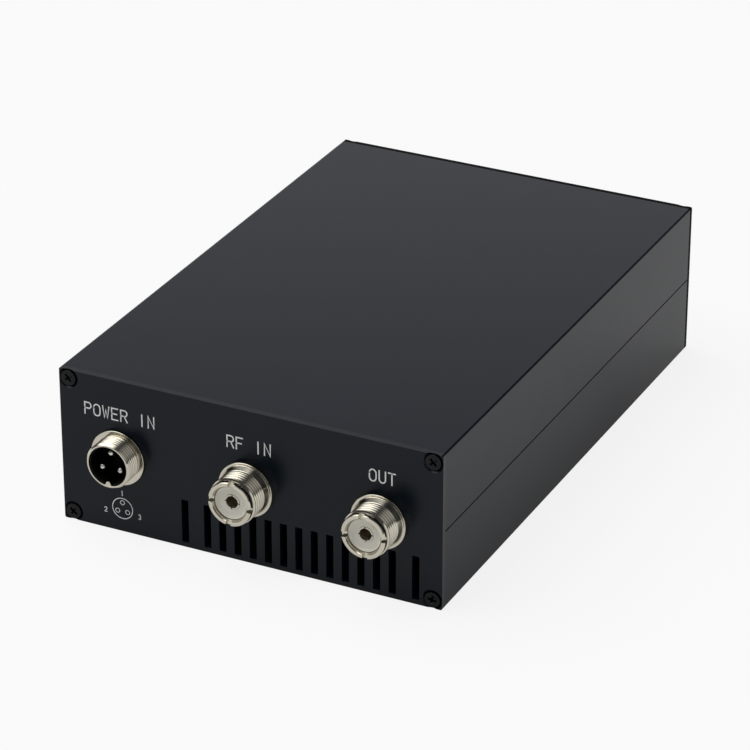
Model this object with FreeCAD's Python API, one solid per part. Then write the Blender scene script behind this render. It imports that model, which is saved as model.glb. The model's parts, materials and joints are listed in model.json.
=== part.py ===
"""HF linear amplifier in a split extruded aluminium enclosure.

Millimetres, +Z up, +X to the right and +Y to the rear.  The origin is the centre of the
face that the enclosure stands on.  Every sub-part is one STEP file in parts/.
"""
import FreeCAD, Part
import math
import os

os.makedirs("parts", exist_ok=True)

V = FreeCAD.Vector

# ---------------------------------------------------------------- driving dimensions
# Enclosure: two equal extruded halves, closed by flat end panels.
case_width = 134.0
case_height = 54.0
shell_length = 198.0
panel_thickness = 2.0
wall = 1.8
long_edge_radius = 0.6
seam_chamfer = 0.25
seam_rib_depth = 1.3
seam_rib_height = 1.2
tongue_width = 0.7
tongue_height = 0.9
tongue_inset = 0.95
tongue_root = 0.3
tongue_clearance = 0.1
groove_floor_gap = 0.2
rail_depth = 2.2
rail_thickness = 1.4
boss_wall = 1.5
boss_chamfer = 1.2
boss_slot = 0.9
panel_edge_chamfer = 0.15
hair = 0.01

# Screws.  A countersunk head lies level with the panel in a slightly wider countersink.
panel_screw_inset_x = 3.35
panel_screw_inset_z = 3.0
pilot_radius = 1.25
thread_clearance = 0.05
panel_screw_length = 9.0
hole_clearance = 0.2
flat_head_radius = 2.75
flat_head_height = 1.6
countersink_gap = 0.6
pan_head_radius = 2.7
pan_head_height = 1.8
pilot_sides = 6
small_sides = 8
screw_sides = 10
round_sides = 12
dish_sides = 18
barrel_sides = 24
bore_sides = 36
rim_sides = 40
cut_past = 1.0

# Air slots in the front panel, in line with the gaps between the heat sink's fins.
vent_side_inset = 49.3
vent_pitch = 5.39
vent_count = 13
vent_end_step = 8.0
vent_width = 2.5
vent_bottom = 1.75
vent_height = 15.25

# Sockets on the front panel, on the enclosure's mid-height: the outer two as far from the sides,
# the third one in the middle.
socket_side_inset = 21.0
socket_fit = 0.15
socket_nut_flats = 19.0
socket_nut_thickness = 2.8
socket_nut_clearance = 0.06
washer_thickness = 0.6
washer_margin = 1.7
tag_length = 6.0
tag_width = 4.0
tag_hole_radius = 1.0

uhf_thread_radius = 7.9375
uhf_reach = 12.4
uhf_flange_radius = 9.4
uhf_flange_thickness = 2.0
uhf_ring_length = 2.2
uhf_ring_radius = 7.6
uhf_bore_radius = 5.7
uhf_mouth_radius = 6.2
uhf_mouth_depth = 1.1
uhf_body_length = 24.0
uhf_insulator_length = 20.5
uhf_notch_width = 1.9
uhf_notch_depth = 1.3
uhf_notch_count = 4
uhf_insulator_gap = 0.05
uhf_dish_rim_set_back = 1.2
uhf_dish_depth = 0.8
uhf_dish_floor_radius = 5.0
uhf_contact_gap = 0.05
contact_radius = 2.6
contact_bore_radius = 2.05
contact_bore_length = 9.0
contact_set_back = 1.9
contact_slit_width = 0.5
contact_slit_length = 6.0
contact_tail = 3.0

dc_thread_radius = 7.8
dc_reach = 7.5
dc_flange_radius = 9.5
dc_flange_thickness = 1.3
dc_bore_radius = 6.95
dc_tail = 10.0
dc_key_width = 1.8
dc_key_height = 1.1
dc_key_set_back = 0.7
dc_key_gap = 0.15
dc_liner_thickness = 0.6
dc_liner_set_back = 0.6
dc_insulator_face = 0.5
dc_insulator_gap = 0.05
dc_pin_radius = 1.05
dc_pin_circle = 3.75
dc_pin_count = 3
dc_pin_set_back = 1.8
dc_pin_tail = 4.0
dc_pin_hole_gap = 0.04

# Heat sink: base plate on top, fins hanging down to the enclosure's floor, two feet.
sink_front_gap = 18.5
sink_rear_gap = 10.5
sink_base = 4.0
fin_thickness = 1.6
fin_floor_gap = 0.5
foot_thickness = 5.0
sink_screw_length = 9.0
sink_screw_end_inset = 27.0

# Main board, held in the lower half's rails and on spacers over the heat sink.
board_thickness = 1.6
board_top_gap = 0.2
board_side_gap = 0.4
board_front_gap = 18.5
board_rear_gap = 16.5
board_notch_margin = 3.2
board_notch_length = 15.0
spacer_height = 2.5
board_screw_spread = 66.0
board_screw_end_inset = 7.0
board_screw_length = 7.4
spacer_flats = 5.0

# Output transistors, flat on the heat sink in windows of the board.
transistor_spread = 28.0
transistor_front_gap = 10.9
transistor_width = 10.2
transistor_body_length = 9.2
transistor_tab_length = 15.6
transistor_tab_thickness = 1.3
transistor_thickness = 4.5
transistor_lead_width = 0.9
transistor_lead_thickness = 0.5
transistor_lead_pitch = 2.54
transistor_lead_height = 2.45
transistor_lead_step = 1.2
transistor_lead_foot = 3.2
transistor_hole_radius = 1.7
transistor_hole_inset = 2.8
transistor_screw_length = 4.6
pad_thickness = 0.2
pad_margin = 1.0
window_margin = 1.4

# Wound parts on the board.
input_core_width = 14.0
input_core_length = 14.0
input_core_height = 7.6
input_core_hole_radius = 2.0
input_core_hole_spacing = 6.0
input_core_chamfer = 1.9
input_core_side_gap = 4.4
input_core_front_gap = 8.0
output_core_radius = 7.0
output_core_length = 28.0
output_core_gap = 0.6
output_core_rear_gap = 15.0
output_tube_radius = 3.6
output_tube_wall = 0.5
output_plate_thickness = 1.6
output_plate_margin = 0.6
output_tube_end = 0.8
output_strap = 3.2
input_strap = 2.0
strap_reach = 4.0
core_seat_gap = 0.05
choke_radius = 11.0
choke_hole_radius = 6.0
choke_height = 8.0
choke_side_gap = 13.8
choke_rear_gap = 21.0
winding_thickness = 1.0
winding_gap = 0.3
winding_turns = 9

# Small parts on the board.
capacitor_radius = 5.0
capacitor_height = 17.0
capacitor_side_gap = 5.8
capacitor_front_gap = 33.0
capacitor_pitch = 13.0
capacitor_count = 3
trimmer_width = 6.6
trimmer_height = 4.2
trimmer_recess_radius = 2.3
trimmer_recess_depth = 1.4
adjuster_radius = 1.9
adjuster_height = 1.3
adjuster_slot_width = 0.6
adjuster_slot_depth = 0.7
trimmer_front_gap = 15.7
trimmer_spread = 26.0
regulator_radius = 2.4
regulator_height = 5.0
regulator_flat = 1.5
regulator_gap = 8.6
resistor_width = 5.0
resistor_height = 5.4
resistor_length = 12.0
resistor_lift = 0.8
resistor_lead = 0.8
resistor_pitch = 7.0
resistor_count = 3
chip_length = 4.5
chip_width = 3.2
chip_height = 2.2
chip_side_gap = 4.0
chip_rear_gap = 3.0

# Relays that switch the sockets between bypass and amplify.
relay_width = 16.0
relay_length = 20.0
relay_base_height = 1.6
relay_height = 15.5
relay_cover_wall = 0.8
relay_front_gap = 13.0
coil_radius = 4.8
coil_flange = 10.4
coil_flange_thickness = 0.8
coil_height = 7.6
coil_set_back = 1.0
pole = 4.0
pole_gap = 0.1
yoke_width = 9.0
yoke_thickness = 1.2
yoke_centre = 7.2
yoke_height = 10.3
armature_thickness = 1.0
armature_lift = 0.15
armature_reach = 11.8
contact_arm_width = 3.0
contact_arm_thickness = 0.6
contact_arm_reach = 15.0
armature_travel_deg = 3.5
post_width = 3.4
post_thickness = 1.2
post_gap = 0.25

# Fan on the rear panel, in line with the heat sink.
fan_size = 40.0
fan_depth = 20.0
fan_bore_radius = 19.0
fan_hole_pitch = 32.0
fan_corner_chamfer = 2.0
fan_screw_length = 9.0
hub_radius = 9.5
hub_wall = 0.9
hub_front_gap = 1.5
hub_rear_gap = 1.0
hub_plate = 2.0
strut_width = 2.2
strut_depth = 3.0
strut_count = 4
strut_turn_deg = 20.0
blade_count = 5
blade_tip_gap = 0.7
blade_front_gap = 2.2
blade_chord_root = 14.0
blade_chord_tip = 19.0
blade_angle_root = 36.0
blade_angle_tip = 56.0
blade_thickness = 1.0
blade_camber = 1.4
blade_stations = 4
blade_root_depth = 4.0
magnet_thickness = 0.9
magnet_fit = 0.05
magnet_end_gap = 0.6
rotor_air_gap = 0.5
shaft_radius = 1.0
shaft_fit = 0.05
shaft_press_gap = 0.02
shaft_seat = 1.5
bearing_wall = 1.6
bearing_seat_gap = 0.05
stator_core_wall = 1.2
stator_pole_width = 2.4
stator_shoe = 0.8
stator_shoe_width = 6.0
stator_pole_count = 4
stator_length = 8.0
grille_radius = 18.0
grille_slot_width = 2.6
grille_pitch = 4.5
grille_slot_count = 8
fan_connector_size = (6.0, 4.6, 5.6)
fan_connector_rear_gap = 3.7

# Leads inside the enclosure.
dc_lead_radius = 0.8
dc_lead_straight = 3.0
dc_lead_landing = 4.6
dc_lead_pad = 5.0
rf_lead_radius = 0.6
rf_lead_end_gap = 1.0
lead_sides = 6
lead_bend_share = 0.45
fan_lead_radius = 0.5
fan_lead_pitch = 1.6
fan_lead_inset = 3.5
fan_lead_drop = 3.0
fan_lead_straight = 5.0

# ---------------------------------------------------------------- places worked out from them
half_width = case_width / 2
half_height = case_height / 2
shell_front = -shell_length / 2
shell_rear = shell_length / 2
front_face = shell_front - panel_thickness
rear_face = shell_rear + panel_thickness
inner_half_width = half_width - wall
socket_pitch = half_width - socket_side_inset
socket_z = half_height
vent_centre_x = half_width - vent_side_inset
fan_front = shell_rear - fan_depth

board_top = half_height - seam_rib_height - board_top_gap
board_under = board_top - board_thickness
board_front = shell_front + board_front_gap
board_rear = fan_front - board_rear_gap
board_half_width = inner_half_width - board_side_gap
sink_top = board_under - spacer_height
sink_under = sink_top - sink_base
sink_front = shell_front + sink_front_gap
sink_rear = fan_front - sink_rear_gap
foot_offset = vent_pitch * (vent_count - 1) / 2 + vent_end_step / 2

relay_y = board_front + relay_front_gap + relay_length / 2
relay_rear = relay_y + relay_length / 2
trimmer_y = relay_rear + trimmer_front_gap + trimmer_width / 2
transistor_y = trimmer_y + (trimmer_width + transistor_tab_length) / 2 + transistor_front_gap
input_core_x = vent_centre_x - (trimmer_spread + trimmer_width + input_core_width) / 2 - input_core_side_gap
input_core_y = relay_rear + input_core_front_gap + input_core_length / 2
output_core_y = board_rear - output_core_rear_gap - output_core_length / 2
choke_x = choke_side_gap + choke_radius - board_half_width
choke_y = board_rear - choke_rear_gap - choke_radius
capacitor_x = capacitor_side_gap + capacitor_radius - board_half_width
capacitor_first_y = board_front + capacitor_front_gap + capacitor_radius
regulator_x = input_core_x - input_core_width / 2 - regulator_gap - regulator_radius
fan_lead_x = vent_centre_x - fan_size / 2 + fan_lead_inset
fan_connector_y = board_rear - fan_connector_rear_gap - fan_connector_size[1] / 2


# ---------------------------------------------------------------- plain shapes
def box(x, y, z):
    """A box from three (low, high) pairs."""
    return Part.makeBox(x[1] - x[0], y[1] - y[0], z[1] - z[0], V(x[0], y[0], z[0]))


def centred(middle, width):
    """The (low, high) pair of a width about its middle."""
    return (middle - width / 2, middle + width / 2)


def beyond(low, high):
    """The (low, high) pair of a cutter that runs past both faces."""
    return (low - cut_past, high + cut_past)


def flat_sided(faces):
    """The solid inside closed flat faces."""
    shell = Part.makeShell(faces)
    shell.sewShape()
    solid = Part.Solid(shell)
    return solid if solid.Volume > 0 else solid.reversed()


def flat_lathe(profile, sides):
    """Turn (along, radius) points about the X axis with flat sides; the radii are those of the corners."""
    turns = [2 * math.pi * (i + 0.5) / sides for i in range(sides + 1)]

    def corner(along, radius, turn):
        return V(along, radius * math.cos(turn), radius * math.sin(turn))

    faces = []
    for (along, radius), (next_along, next_radius) in zip(profile, profile[1:] + profile[:1]):
        if radius == 0 and next_radius == 0:
            continue
        if along == next_along and 0 in (radius, next_radius):
            rim = [corner(along, max(radius, next_radius), turn) for turn in turns]
            faces.append(Part.Face(Part.makePolygon(rim)))
            continue
        for turn, next_turn in zip(turns, turns[1:]):
            quad = [corner(along, radius, turn), corner(next_along, next_radius, turn),
                    corner(next_along, next_radius, next_turn), corner(along, radius, next_turn)]
            faces.append(Part.Face(Part.makePolygon(quad + quad[:1])))
    return flat_sided(faces)


def rod(radius, span, sides=0):
    """A round or flat-sided rod along X between the two values of span."""
    if sides:
        return flat_lathe([(span[0], 0), (span[0], radius), (span[1], radius), (span[1], 0)], sides)
    return Part.makeCylinder(radius, span[1] - span[0], V(span[0], 0, 0), V(1, 0, 0))


def rod_y(radius, y, x=0.0, z=0.0, sides=0):
    """A rod along Y between the two values of y."""
    return aim(rod(radius, y, sides), V(0, 1, 0), V(x, 0, z))


def rod_z(radius, z, x=0.0, y=0.0, sides=0):
    """A rod along Z between the two values of z."""
    return aim(rod(radius, z, sides), V(0, 0, 1), V(x, y, 0))


def clear_of(radius, sides):
    """The corner radius of a flat-sided hole whose flats clear a round of this radius."""
    return radius / math.cos(math.pi / sides)


def tube(outer, inner, span, sides=0):
    """A rod along X with a hole through it."""
    return rod(outer, span, sides).cut(rod(inner, beyond(span[0], span[1]), sides))


def aim(shape, direction, place):
    """Turn a shape made along +X to a direction and move it to a place."""
    turned = shape.copy()
    move = FreeCAD.Placement(place, FreeCAD.Rotation(V(1, 0, 0), direction))
    turned.Placement = move.multiply(shape.Placement)
    return turned


def face_out(shape, x, z):
    """Put a shape made along +X on the front panel, pointing out of its face."""
    return aim(shape, V(0, -1, 0), V(x, front_face, z))


def hexagon(flats, thickness, hole_radius):
    """A hexagon nut along +X, from 0 back to minus its thickness."""
    corner = flats / math.sqrt(3)
    points = [V(0, corner * math.cos(math.radians(60 * i)), corner * math.sin(math.radians(60 * i)))
              for i in range(7)]
    nut = Part.Face(Part.makePolygon(points)).extrude(V(-thickness, 0, 0))
    return nut.cut(rod(clear_of(hole_radius, round_sides), beyond(-thickness, 0), round_sides))


def mirror_pair(shape, plane_x):
    """A shape and its mirror image about the plane X = plane_x."""
    return [shape, shape.mirror(V(plane_x, 0, 0), V(1, 0, 0))]


def joined(shapes):
    """One solid from touching shapes, with the edges between them removed."""
    first = shapes[0]
    return first.multiFuse(shapes[1:]).removeSplitter()


def turned_about(shape, count, centre, axis):
    """Copies of a shape, evenly turned about an axis."""
    copies = []
    for i in range(count):
        copy = shape.copy()
        copy.rotate(centre, axis, 360.0 * i / count)
        copies.append(copy)
    return copies


# ---------------------------------------------------------------- screws
def flat_screw(length, sides):
    """A countersunk screw along -X with its head level with 0."""
    shank = pilot_radius - thread_clearance
    profile = [(0, 0), (0, flat_head_radius), (-flat_head_height, shank), (-length, shank), (-length, 0)]
    return flat_lathe(profile, sides)


def pan_screw(length):
    """A pan-head screw along -X whose head sits on 0."""
    shank = pilot_radius - thread_clearance
    profile = [(pan_head_height, 0), (pan_head_height, pan_head_radius), (0, pan_head_radius), (0, shank),
               (-length, shank), (-length, 0)]
    return flat_lathe(profile, small_sides)


def countersink(depth, sides):
    """The countersunk hole for a flat screw, along -X through a wall of this depth."""
    top = clear_of(flat_head_radius + countersink_gap, sides)
    bottom = clear_of(pilot_radius + hole_clearance, sides)
    slope = (flat_head_radius - pilot_radius + thread_clearance) / flat_head_height
    cone_end = min((top - bottom) / slope, depth)
    end = -depth - cut_past
    profile = [(cut_past, 0), (cut_past, top), (0, top), (-cone_end, bottom), (end, bottom), (end, 0)]
    return flat_lathe(profile, sides)


def pilot(span):
    """A screw's pilot hole along X between the two values of span."""
    return rod(clear_of(pilot_radius, pilot_sides), span, pilot_sides)


def corner_places():
    """The four corners where the end panels are screwed on."""
    x = half_width - panel_screw_inset_x
    low = panel_screw_inset_z
    high = case_height - panel_screw_inset_z
    return [(-x, low), (x, low), (-x, high), (x, high)]


# ---------------------------------------------------------------- enclosure
def half_shell():
    """The lower extrusion: floor, sides, seam ribs, board rails and screw bosses."""
    length = (shell_front, shell_rear)
    shell = box((-half_width, half_width), length, (0, half_height))
    long_edges = [e for e in shell.Edges if e.BoundBox.YLength > shell_length / 2]
    shell = shell.makeFillet(long_edge_radius, [e for e in long_edges if e.BoundBox.ZMax < hair])
    long_edges = [e for e in shell.Edges if e.BoundBox.YLength > shell_length / 2]
    shell = shell.makeChamfer(seam_chamfer, [e for e in long_edges if e.BoundBox.ZMin > half_height - hair])
    hollow = box((-inner_half_width, inner_half_width), length, (wall, half_height))
    shell = shell.cut(hollow)

    rib = box((inner_half_width - seam_rib_depth, inner_half_width), length,
              (half_height - seam_rib_height, half_height))
    rail = box((inner_half_width - rail_depth, inner_half_width), length,
               (board_under - rail_thickness, board_under))
    boss_reach = pilot_radius + boss_wall
    boss_x = half_width - panel_screw_inset_x
    boss = box((boss_x - boss_reach, inner_half_width), length, (wall, panel_screw_inset_z + boss_reach))
    free_edge = [e for e in boss.Edges if e.BoundBox.XMax < boss_x and e.BoundBox.ZMin > panel_screw_inset_z]
    boss = boss.makeChamfer(boss_chamfer, [e for e in free_edge if e.BoundBox.YLength > shell_length / 2])
    added = []
    for piece in (rib, rail, boss):
        added += mirror_pair(piece, 0)
    shell = joined([shell] + added)

    for side in (-1, 1):
        place = V(side * boss_x, 0, panel_screw_inset_z)
        hole = aim(pilot(beyond(shell_front, shell_rear)), V(0, 1, 0), place)
        slot = box(centred(0, boss_slot), length, (0, boss_reach + boss_wall))
        slot.rotate(V(0, 0, 0), V(0, 1, 0), -45 * side)
        slot.translate(place)
        shell = shell.cut(hole).cut(slot)

    tongue_x = half_width - tongue_inset - tongue_width
    tongue = box((tongue_x, tongue_x + tongue_width), length,
                 (half_height - tongue_root, half_height + tongue_height))
    groove = box((-tongue_x - tongue_width - tongue_clearance, -tongue_x + tongue_clearance), length,
                 (half_height - tongue_height - groove_floor_gap, half_height + cut_past))
    return joined([shell, tongue]).cut(groove)


def bottom_shell():
    """The lower half, with countersunk holes in its floor for the heat sink's screws."""
    shell = half_shell()
    for x, y in sink_screw_places():
        shell = shell.cut(aim(countersink(wall, small_sides), V(0, 0, -1), V(x, y, 0)))
    return shell


def top_shell():
    """The same extrusion turned half a turn about Y, so that tongue meets groove."""
    shell = half_shell()
    shell.rotate(V(0, 0, half_height), V(0, 1, 0), 180)
    return shell


def end_panel(outer, inner):
    """A flat end plate between two values of y, with the enclosure's own outline."""
    panel = box((-half_width, half_width), (min(outer, inner), max(outer, inner)), (0, case_height))
    corners = [e for e in panel.Edges if abs(e.BoundBox.YLength - panel_thickness) < hair]
    panel = panel.makeFillet(long_edge_radius, corners)
    rim = [e for e in panel.Edges if abs(e.BoundBox.YMin - outer) < hair and e.BoundBox.YLength < hair]
    panel = panel.makeChamfer(panel_edge_chamfer, rim)
    out = V(0, math.copysign(1, outer), 0)
    for x, z in corner_places():
        panel = panel.cut(aim(countersink(panel_thickness, screw_sides), out, V(x, outer, z)))
    return panel


def vent_offsets():
    """Distances of the air slots from the middle of their row."""
    last = (vent_count - 1) / 2
    inner = [(i - last) * vent_pitch for i in range(vent_count)]
    return [inner[0] - vent_end_step] + inner + [inner[-1] + vent_end_step]


def socket_x(place):
    """The X of a socket: -1 is the supply inlet, 0 the input, 1 the antenna socket."""
    return place * socket_pitch


def front_panel():
    """The front plate with its three socket holes and the row of air slots."""
    panel = end_panel(front_face, shell_front)
    through = beyond(front_face, shell_front)
    for place, thread in ((-1, dc_thread_radius), (0, uhf_thread_radius), (1, uhf_thread_radius)):
        hole = clear_of(thread + socket_fit, round_sides)
        panel = panel.cut(rod_y(hole, through, socket_x(place), socket_z, round_sides))
    for offset in vent_offsets():
        slot = box(centred(vent_centre_x + offset, vent_width), through,
                   (vent_bottom, vent_bottom + vent_height))
        panel = panel.cut(slot)
    return panel


def grille_slots():
    """Upright slots that fill the fan's circle."""
    slots = []
    for i in range(grille_slot_count):
        offset = (i - (grille_slot_count - 1) / 2) * grille_pitch
        reach = math.sqrt(grille_radius ** 2 - (abs(offset) + grille_slot_width / 2) ** 2)
        slots.append(box(centred(vent_centre_x + offset, grille_slot_width), beyond(shell_rear, rear_face),
                         centred(socket_z, 2 * reach)))
    return slots


def rear_panel():
    """The rear plate with the fan's grille and the fan's screw holes."""
    panel = end_panel(rear_face, shell_rear)
    for slot in grille_slots():
        panel = panel.cut(slot)
    for x, z in fan_screw_places():
        panel = panel.cut(aim(countersink(panel_thickness, small_sides), V(0, 1, 0), V(x, rear_face, z)))
    return panel


def panel_screws():
    """Eight screws, four in each end panel."""
    screw = flat_screw(panel_screw_length, screw_sides)
    front = [aim(screw, V(0, -1, 0), V(x, front_face, z)) for x, z in corner_places()]
    rear = [aim(screw, V(0, 1, 0), V(x, rear_face, z)) for x, z in corner_places()]
    return front + rear


# ---------------------------------------------------------------- antenna and input sockets
def uhf_body():
    """The plated socket body: notched ring, thread, flange and the part behind the panel."""
    tip = uhf_reach
    step = tip - uhf_ring_length
    rear = tip - uhf_body_length
    barrel = joined([rod(uhf_thread_radius, (0, step)),
                     rod(uhf_ring_radius, (step, tip), rim_sides),
                     rod(uhf_flange_radius, (0, uhf_flange_thickness), rim_sides),
                     rod(uhf_thread_radius, (rear, 0), barrel_sides)])
    body = barrel.cut(rod(uhf_bore_radius, beyond(rear, tip), dish_sides))
    mouth = [(tip - uhf_mouth_depth, 0), (tip - uhf_mouth_depth, uhf_bore_radius), (tip, uhf_mouth_radius),
             (tip + cut_past, uhf_mouth_radius), (tip + cut_past, 0)]
    body = body.cut(flat_lathe(mouth, dish_sides))
    notch = box((tip - uhf_notch_depth, tip + cut_past), centred(0, uhf_notch_width),
                (0, uhf_ring_radius + cut_past))
    for cutter in turned_about(notch, uhf_notch_count, V(0, 0, 0), V(1, 0, 0)):
        body = body.cut(cutter)
    return body


def uhf_insulator():
    """The dished insulator that holds the centre contact."""
    outer = uhf_bore_radius - uhf_insulator_gap
    rim = uhf_reach - uhf_dish_rim_set_back
    rear = rim - uhf_insulator_length
    hole = clear_of(contact_radius + uhf_contact_gap, dish_sides)
    floor = rim - uhf_dish_depth
    profile = [(rear, hole), (rear, outer), (rim, outer), (floor, uhf_dish_floor_radius), (floor, hole)]
    return flat_lathe(profile, dish_sides)


def uhf_contact():
    """The slit spring contact with its solid tail."""
    tip = uhf_reach - contact_set_back
    end = uhf_reach - uhf_body_length - contact_tail
    contact = rod(contact_radius, (end, tip), round_sides)
    contact = contact.cut(rod(contact_bore_radius, (tip - contact_bore_length, tip + cut_past)))
    slit = box((tip - contact_slit_length, tip + cut_past), centred(0, contact_slit_width),
               (0, contact_radius + cut_past))
    for cutter in turned_about(slit, 4, V(0, 0, 0), V(1, 0, 0)):
        contact = contact.cut(cutter)
    return contact


def tag_washer():
    """A washer with a solder tag, against the panel's rear face."""
    inner = clear_of(uhf_thread_radius + socket_nut_clearance, screw_sides)
    outer = inner + washer_margin
    span = (-panel_thickness - washer_thickness, -panel_thickness)
    tag = box(span, centred(0, tag_width), (0, outer + tag_length))
    hole = rod(tag_hole_radius, beyond(span[0], span[1]), small_sides)
    hole.translate(V(0, 0, outer + tag_length - tag_width / 2))
    washer = joined([rod(outer, span, screw_sides), tag]).cut(hole)
    return washer.cut(rod(inner, beyond(span[0], span[1]), screw_sides))


def socket_nut(thread_radius):
    """The hexagon nut behind the panel and the washer."""
    nut = hexagon(socket_nut_flats, socket_nut_thickness, thread_radius + socket_nut_clearance)
    nut.translate(V(-panel_thickness - washer_thickness, 0, 0))
    return nut


# ---------------------------------------------------------------- supply inlet
def dc_body():
    """The plated inlet shell: rim, thread, flange, tail and the key at its foot."""
    barrel = joined([rod(dc_thread_radius, (0, dc_reach)),
                     rod(dc_flange_radius, (0, dc_flange_thickness), rim_sides),
                     rod(dc_thread_radius, (-dc_tail, 0), barrel_sides)])
    body = barrel.cut(rod(dc_bore_radius, beyond(-dc_tail, dc_reach), barrel_sides))
    root = (dc_bore_radius + dc_thread_radius) / 2
    key = box((dc_insulator_face, dc_reach - dc_key_set_back), centred(0, dc_key_width),
              (-root, dc_key_height - dc_bore_radius))
    return joined([body, key])


def pin_places():
    """Places of the inlet's pins about its axis, the first one on top."""
    turns = [math.radians(90 + 360 * i / dc_pin_count) for i in range(dc_pin_count)]
    return [(dc_pin_circle * math.cos(turn), dc_pin_circle * math.sin(turn)) for turn in turns]


def dc_insulator():
    """The black insert: a thick base with a thin liner round the pins."""
    outer = dc_bore_radius - dc_insulator_gap
    front = dc_reach - dc_liner_set_back
    base = -dc_insulator_face
    profile = [(-dc_tail, 0), (-dc_tail, outer), (front, outer), (front, outer - dc_liner_thickness),
               (base, outer - dc_liner_thickness), (base, 0)]
    insert = flat_lathe(profile, barrel_sides)
    slot = box((base, front + cut_past), centred(0, dc_key_width + 2 * dc_key_gap),
               (-dc_bore_radius - cut_past, dc_key_height + dc_key_gap - dc_bore_radius))
    insert = insert.cut(slot)
    hole_radius = clear_of(dc_pin_radius + dc_pin_hole_gap, small_sides)
    pin_hole = rod(hole_radius, beyond(-dc_tail, base), small_sides)
    for y, z in pin_places():
        hole = pin_hole.copy()
        hole.translate(V(0, y, z))
        insert = insert.cut(hole)
    return insert


def dc_pins():
    """Three round pins through the insert."""
    pins = []
    for y, z in pin_places():
        pin = rod(dc_pin_radius, (-dc_tail - dc_pin_tail, dc_reach - dc_pin_set_back), round_sides)
        pin.translate(V(0, y, z))
        pins.append(face_out(pin, socket_x(-1), socket_z))
    return pins


def dc_washer():
    """A plain washer behind the panel."""
    inner = clear_of(dc_thread_radius + socket_nut_clearance, screw_sides)
    span = (-panel_thickness - washer_thickness, -panel_thickness)
    return tube(inner + washer_margin, inner, span, screw_sides)


# ---------------------------------------------------------------- heat sink
def sink_screw_places():
    """Where the heat sink's feet are screwed to the floor."""
    rows = (sink_front + sink_screw_end_inset, sink_rear - sink_screw_end_inset)
    return [(vent_centre_x + side * foot_offset, y) for side in (-1, 1) for y in rows]


def board_screw_places():
    """Where the board is screwed to the heat sink."""
    rows = (board_front + board_screw_end_inset, board_rear - board_screw_end_inset)
    return [(vent_centre_x + side * board_screw_spread / 2, y) for side in (-1, 1) for y in rows]


def transistor_places():
    """The middle of each output transistor."""
    return [vent_centre_x + side * transistor_spread / 2 for side in (-1, 1)]


def transistor_hole_y():
    """The Y of the transistors' screw holes."""
    return transistor_y + transistor_tab_length / 2 - transistor_hole_inset


def heat_sink():
    """Base plate, fins between the air slots, and two feet that stand on the floor."""
    length = (sink_front, sink_rear)
    half = foot_offset + foot_thickness / 2
    pieces = [box(centred(vent_centre_x, 2 * half), length, (sink_under, sink_top))]
    for side in (-1, 1):
        pieces.append(box(centred(vent_centre_x + side * foot_offset, foot_thickness), length,
                          (wall, sink_under)))
    first = -(vent_count - 2) / 2
    for i in range(vent_count - 1):
        x = vent_centre_x + (first + i) * vent_pitch
        pieces.append(box(centred(x, fin_thickness), length, (wall + fin_floor_gap, sink_under)))
    sink = joined(pieces)
    for x, y in sink_screw_places():
        sink = sink.cut(aim(pilot(beyond(wall, sink_screw_length)), V(0, 0, 1), V(x, y, 0)))
    holes = board_screw_places() + [(x, transistor_hole_y()) for x in transistor_places()]
    for x, y in holes:
        sink = sink.cut(aim(pilot(beyond(sink_under, sink_top)), V(0, 0, 1), V(x, y, 0)))
    return sink


def heat_sink_screws():
    """Four countersunk screws up through the floor."""
    screw = flat_screw(sink_screw_length, small_sides)
    return [aim(screw, V(0, 0, -1), V(x, y, 0)) for x, y in sink_screw_places()]


# ---------------------------------------------------------------- main board
def transistor_window():
    """Width, front and rear of the board's window about a transistor."""
    width = transistor_width + 2 * window_margin
    front = transistor_y - transistor_tab_length / 2 - window_margin
    rear = transistor_y + transistor_tab_length / 2 + window_margin
    return width, front, rear


def main_board():
    """The circuit board: a notch behind the supply inlet, windows and screw holes."""
    board = box((-board_half_width, board_half_width), (board_front, board_rear), (board_under, board_top))
    notch_side = socket_x(-1) + socket_nut_flats / math.sqrt(3) + board_notch_margin
    notch = box((-board_half_width - cut_past, notch_side),
                (board_front - cut_past, board_front + board_notch_length), beyond(board_under, board_top))
    board = board.cut(notch)
    width, front, rear = transistor_window()
    for x in transistor_places():
        board = board.cut(box(centred(x, width), (front, rear), beyond(board_under, board_top)))
    for x, y in board_screw_places():
        board = board.cut(aim(pilot(beyond(board_under, board_top)), V(0, 0, 1), V(x, y, 0)))
    return board


def board_spacers():
    """Four hexagon spacers between the heat sink and the board."""
    corner = spacer_flats / math.sqrt(3)
    spacer = rod(corner, (sink_top, board_under), 6).cut(pilot(beyond(sink_top, board_under)))
    return [aim(spacer, V(0, 0, 1), V(x, y, 0)) for x, y in board_screw_places()]


def board_screws():
    """Four pan-head screws down through the board."""
    screw = pan_screw(board_screw_length)
    return [aim(screw, V(0, 0, 1), V(x, y, board_top)) for x, y in board_screw_places()]


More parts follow.
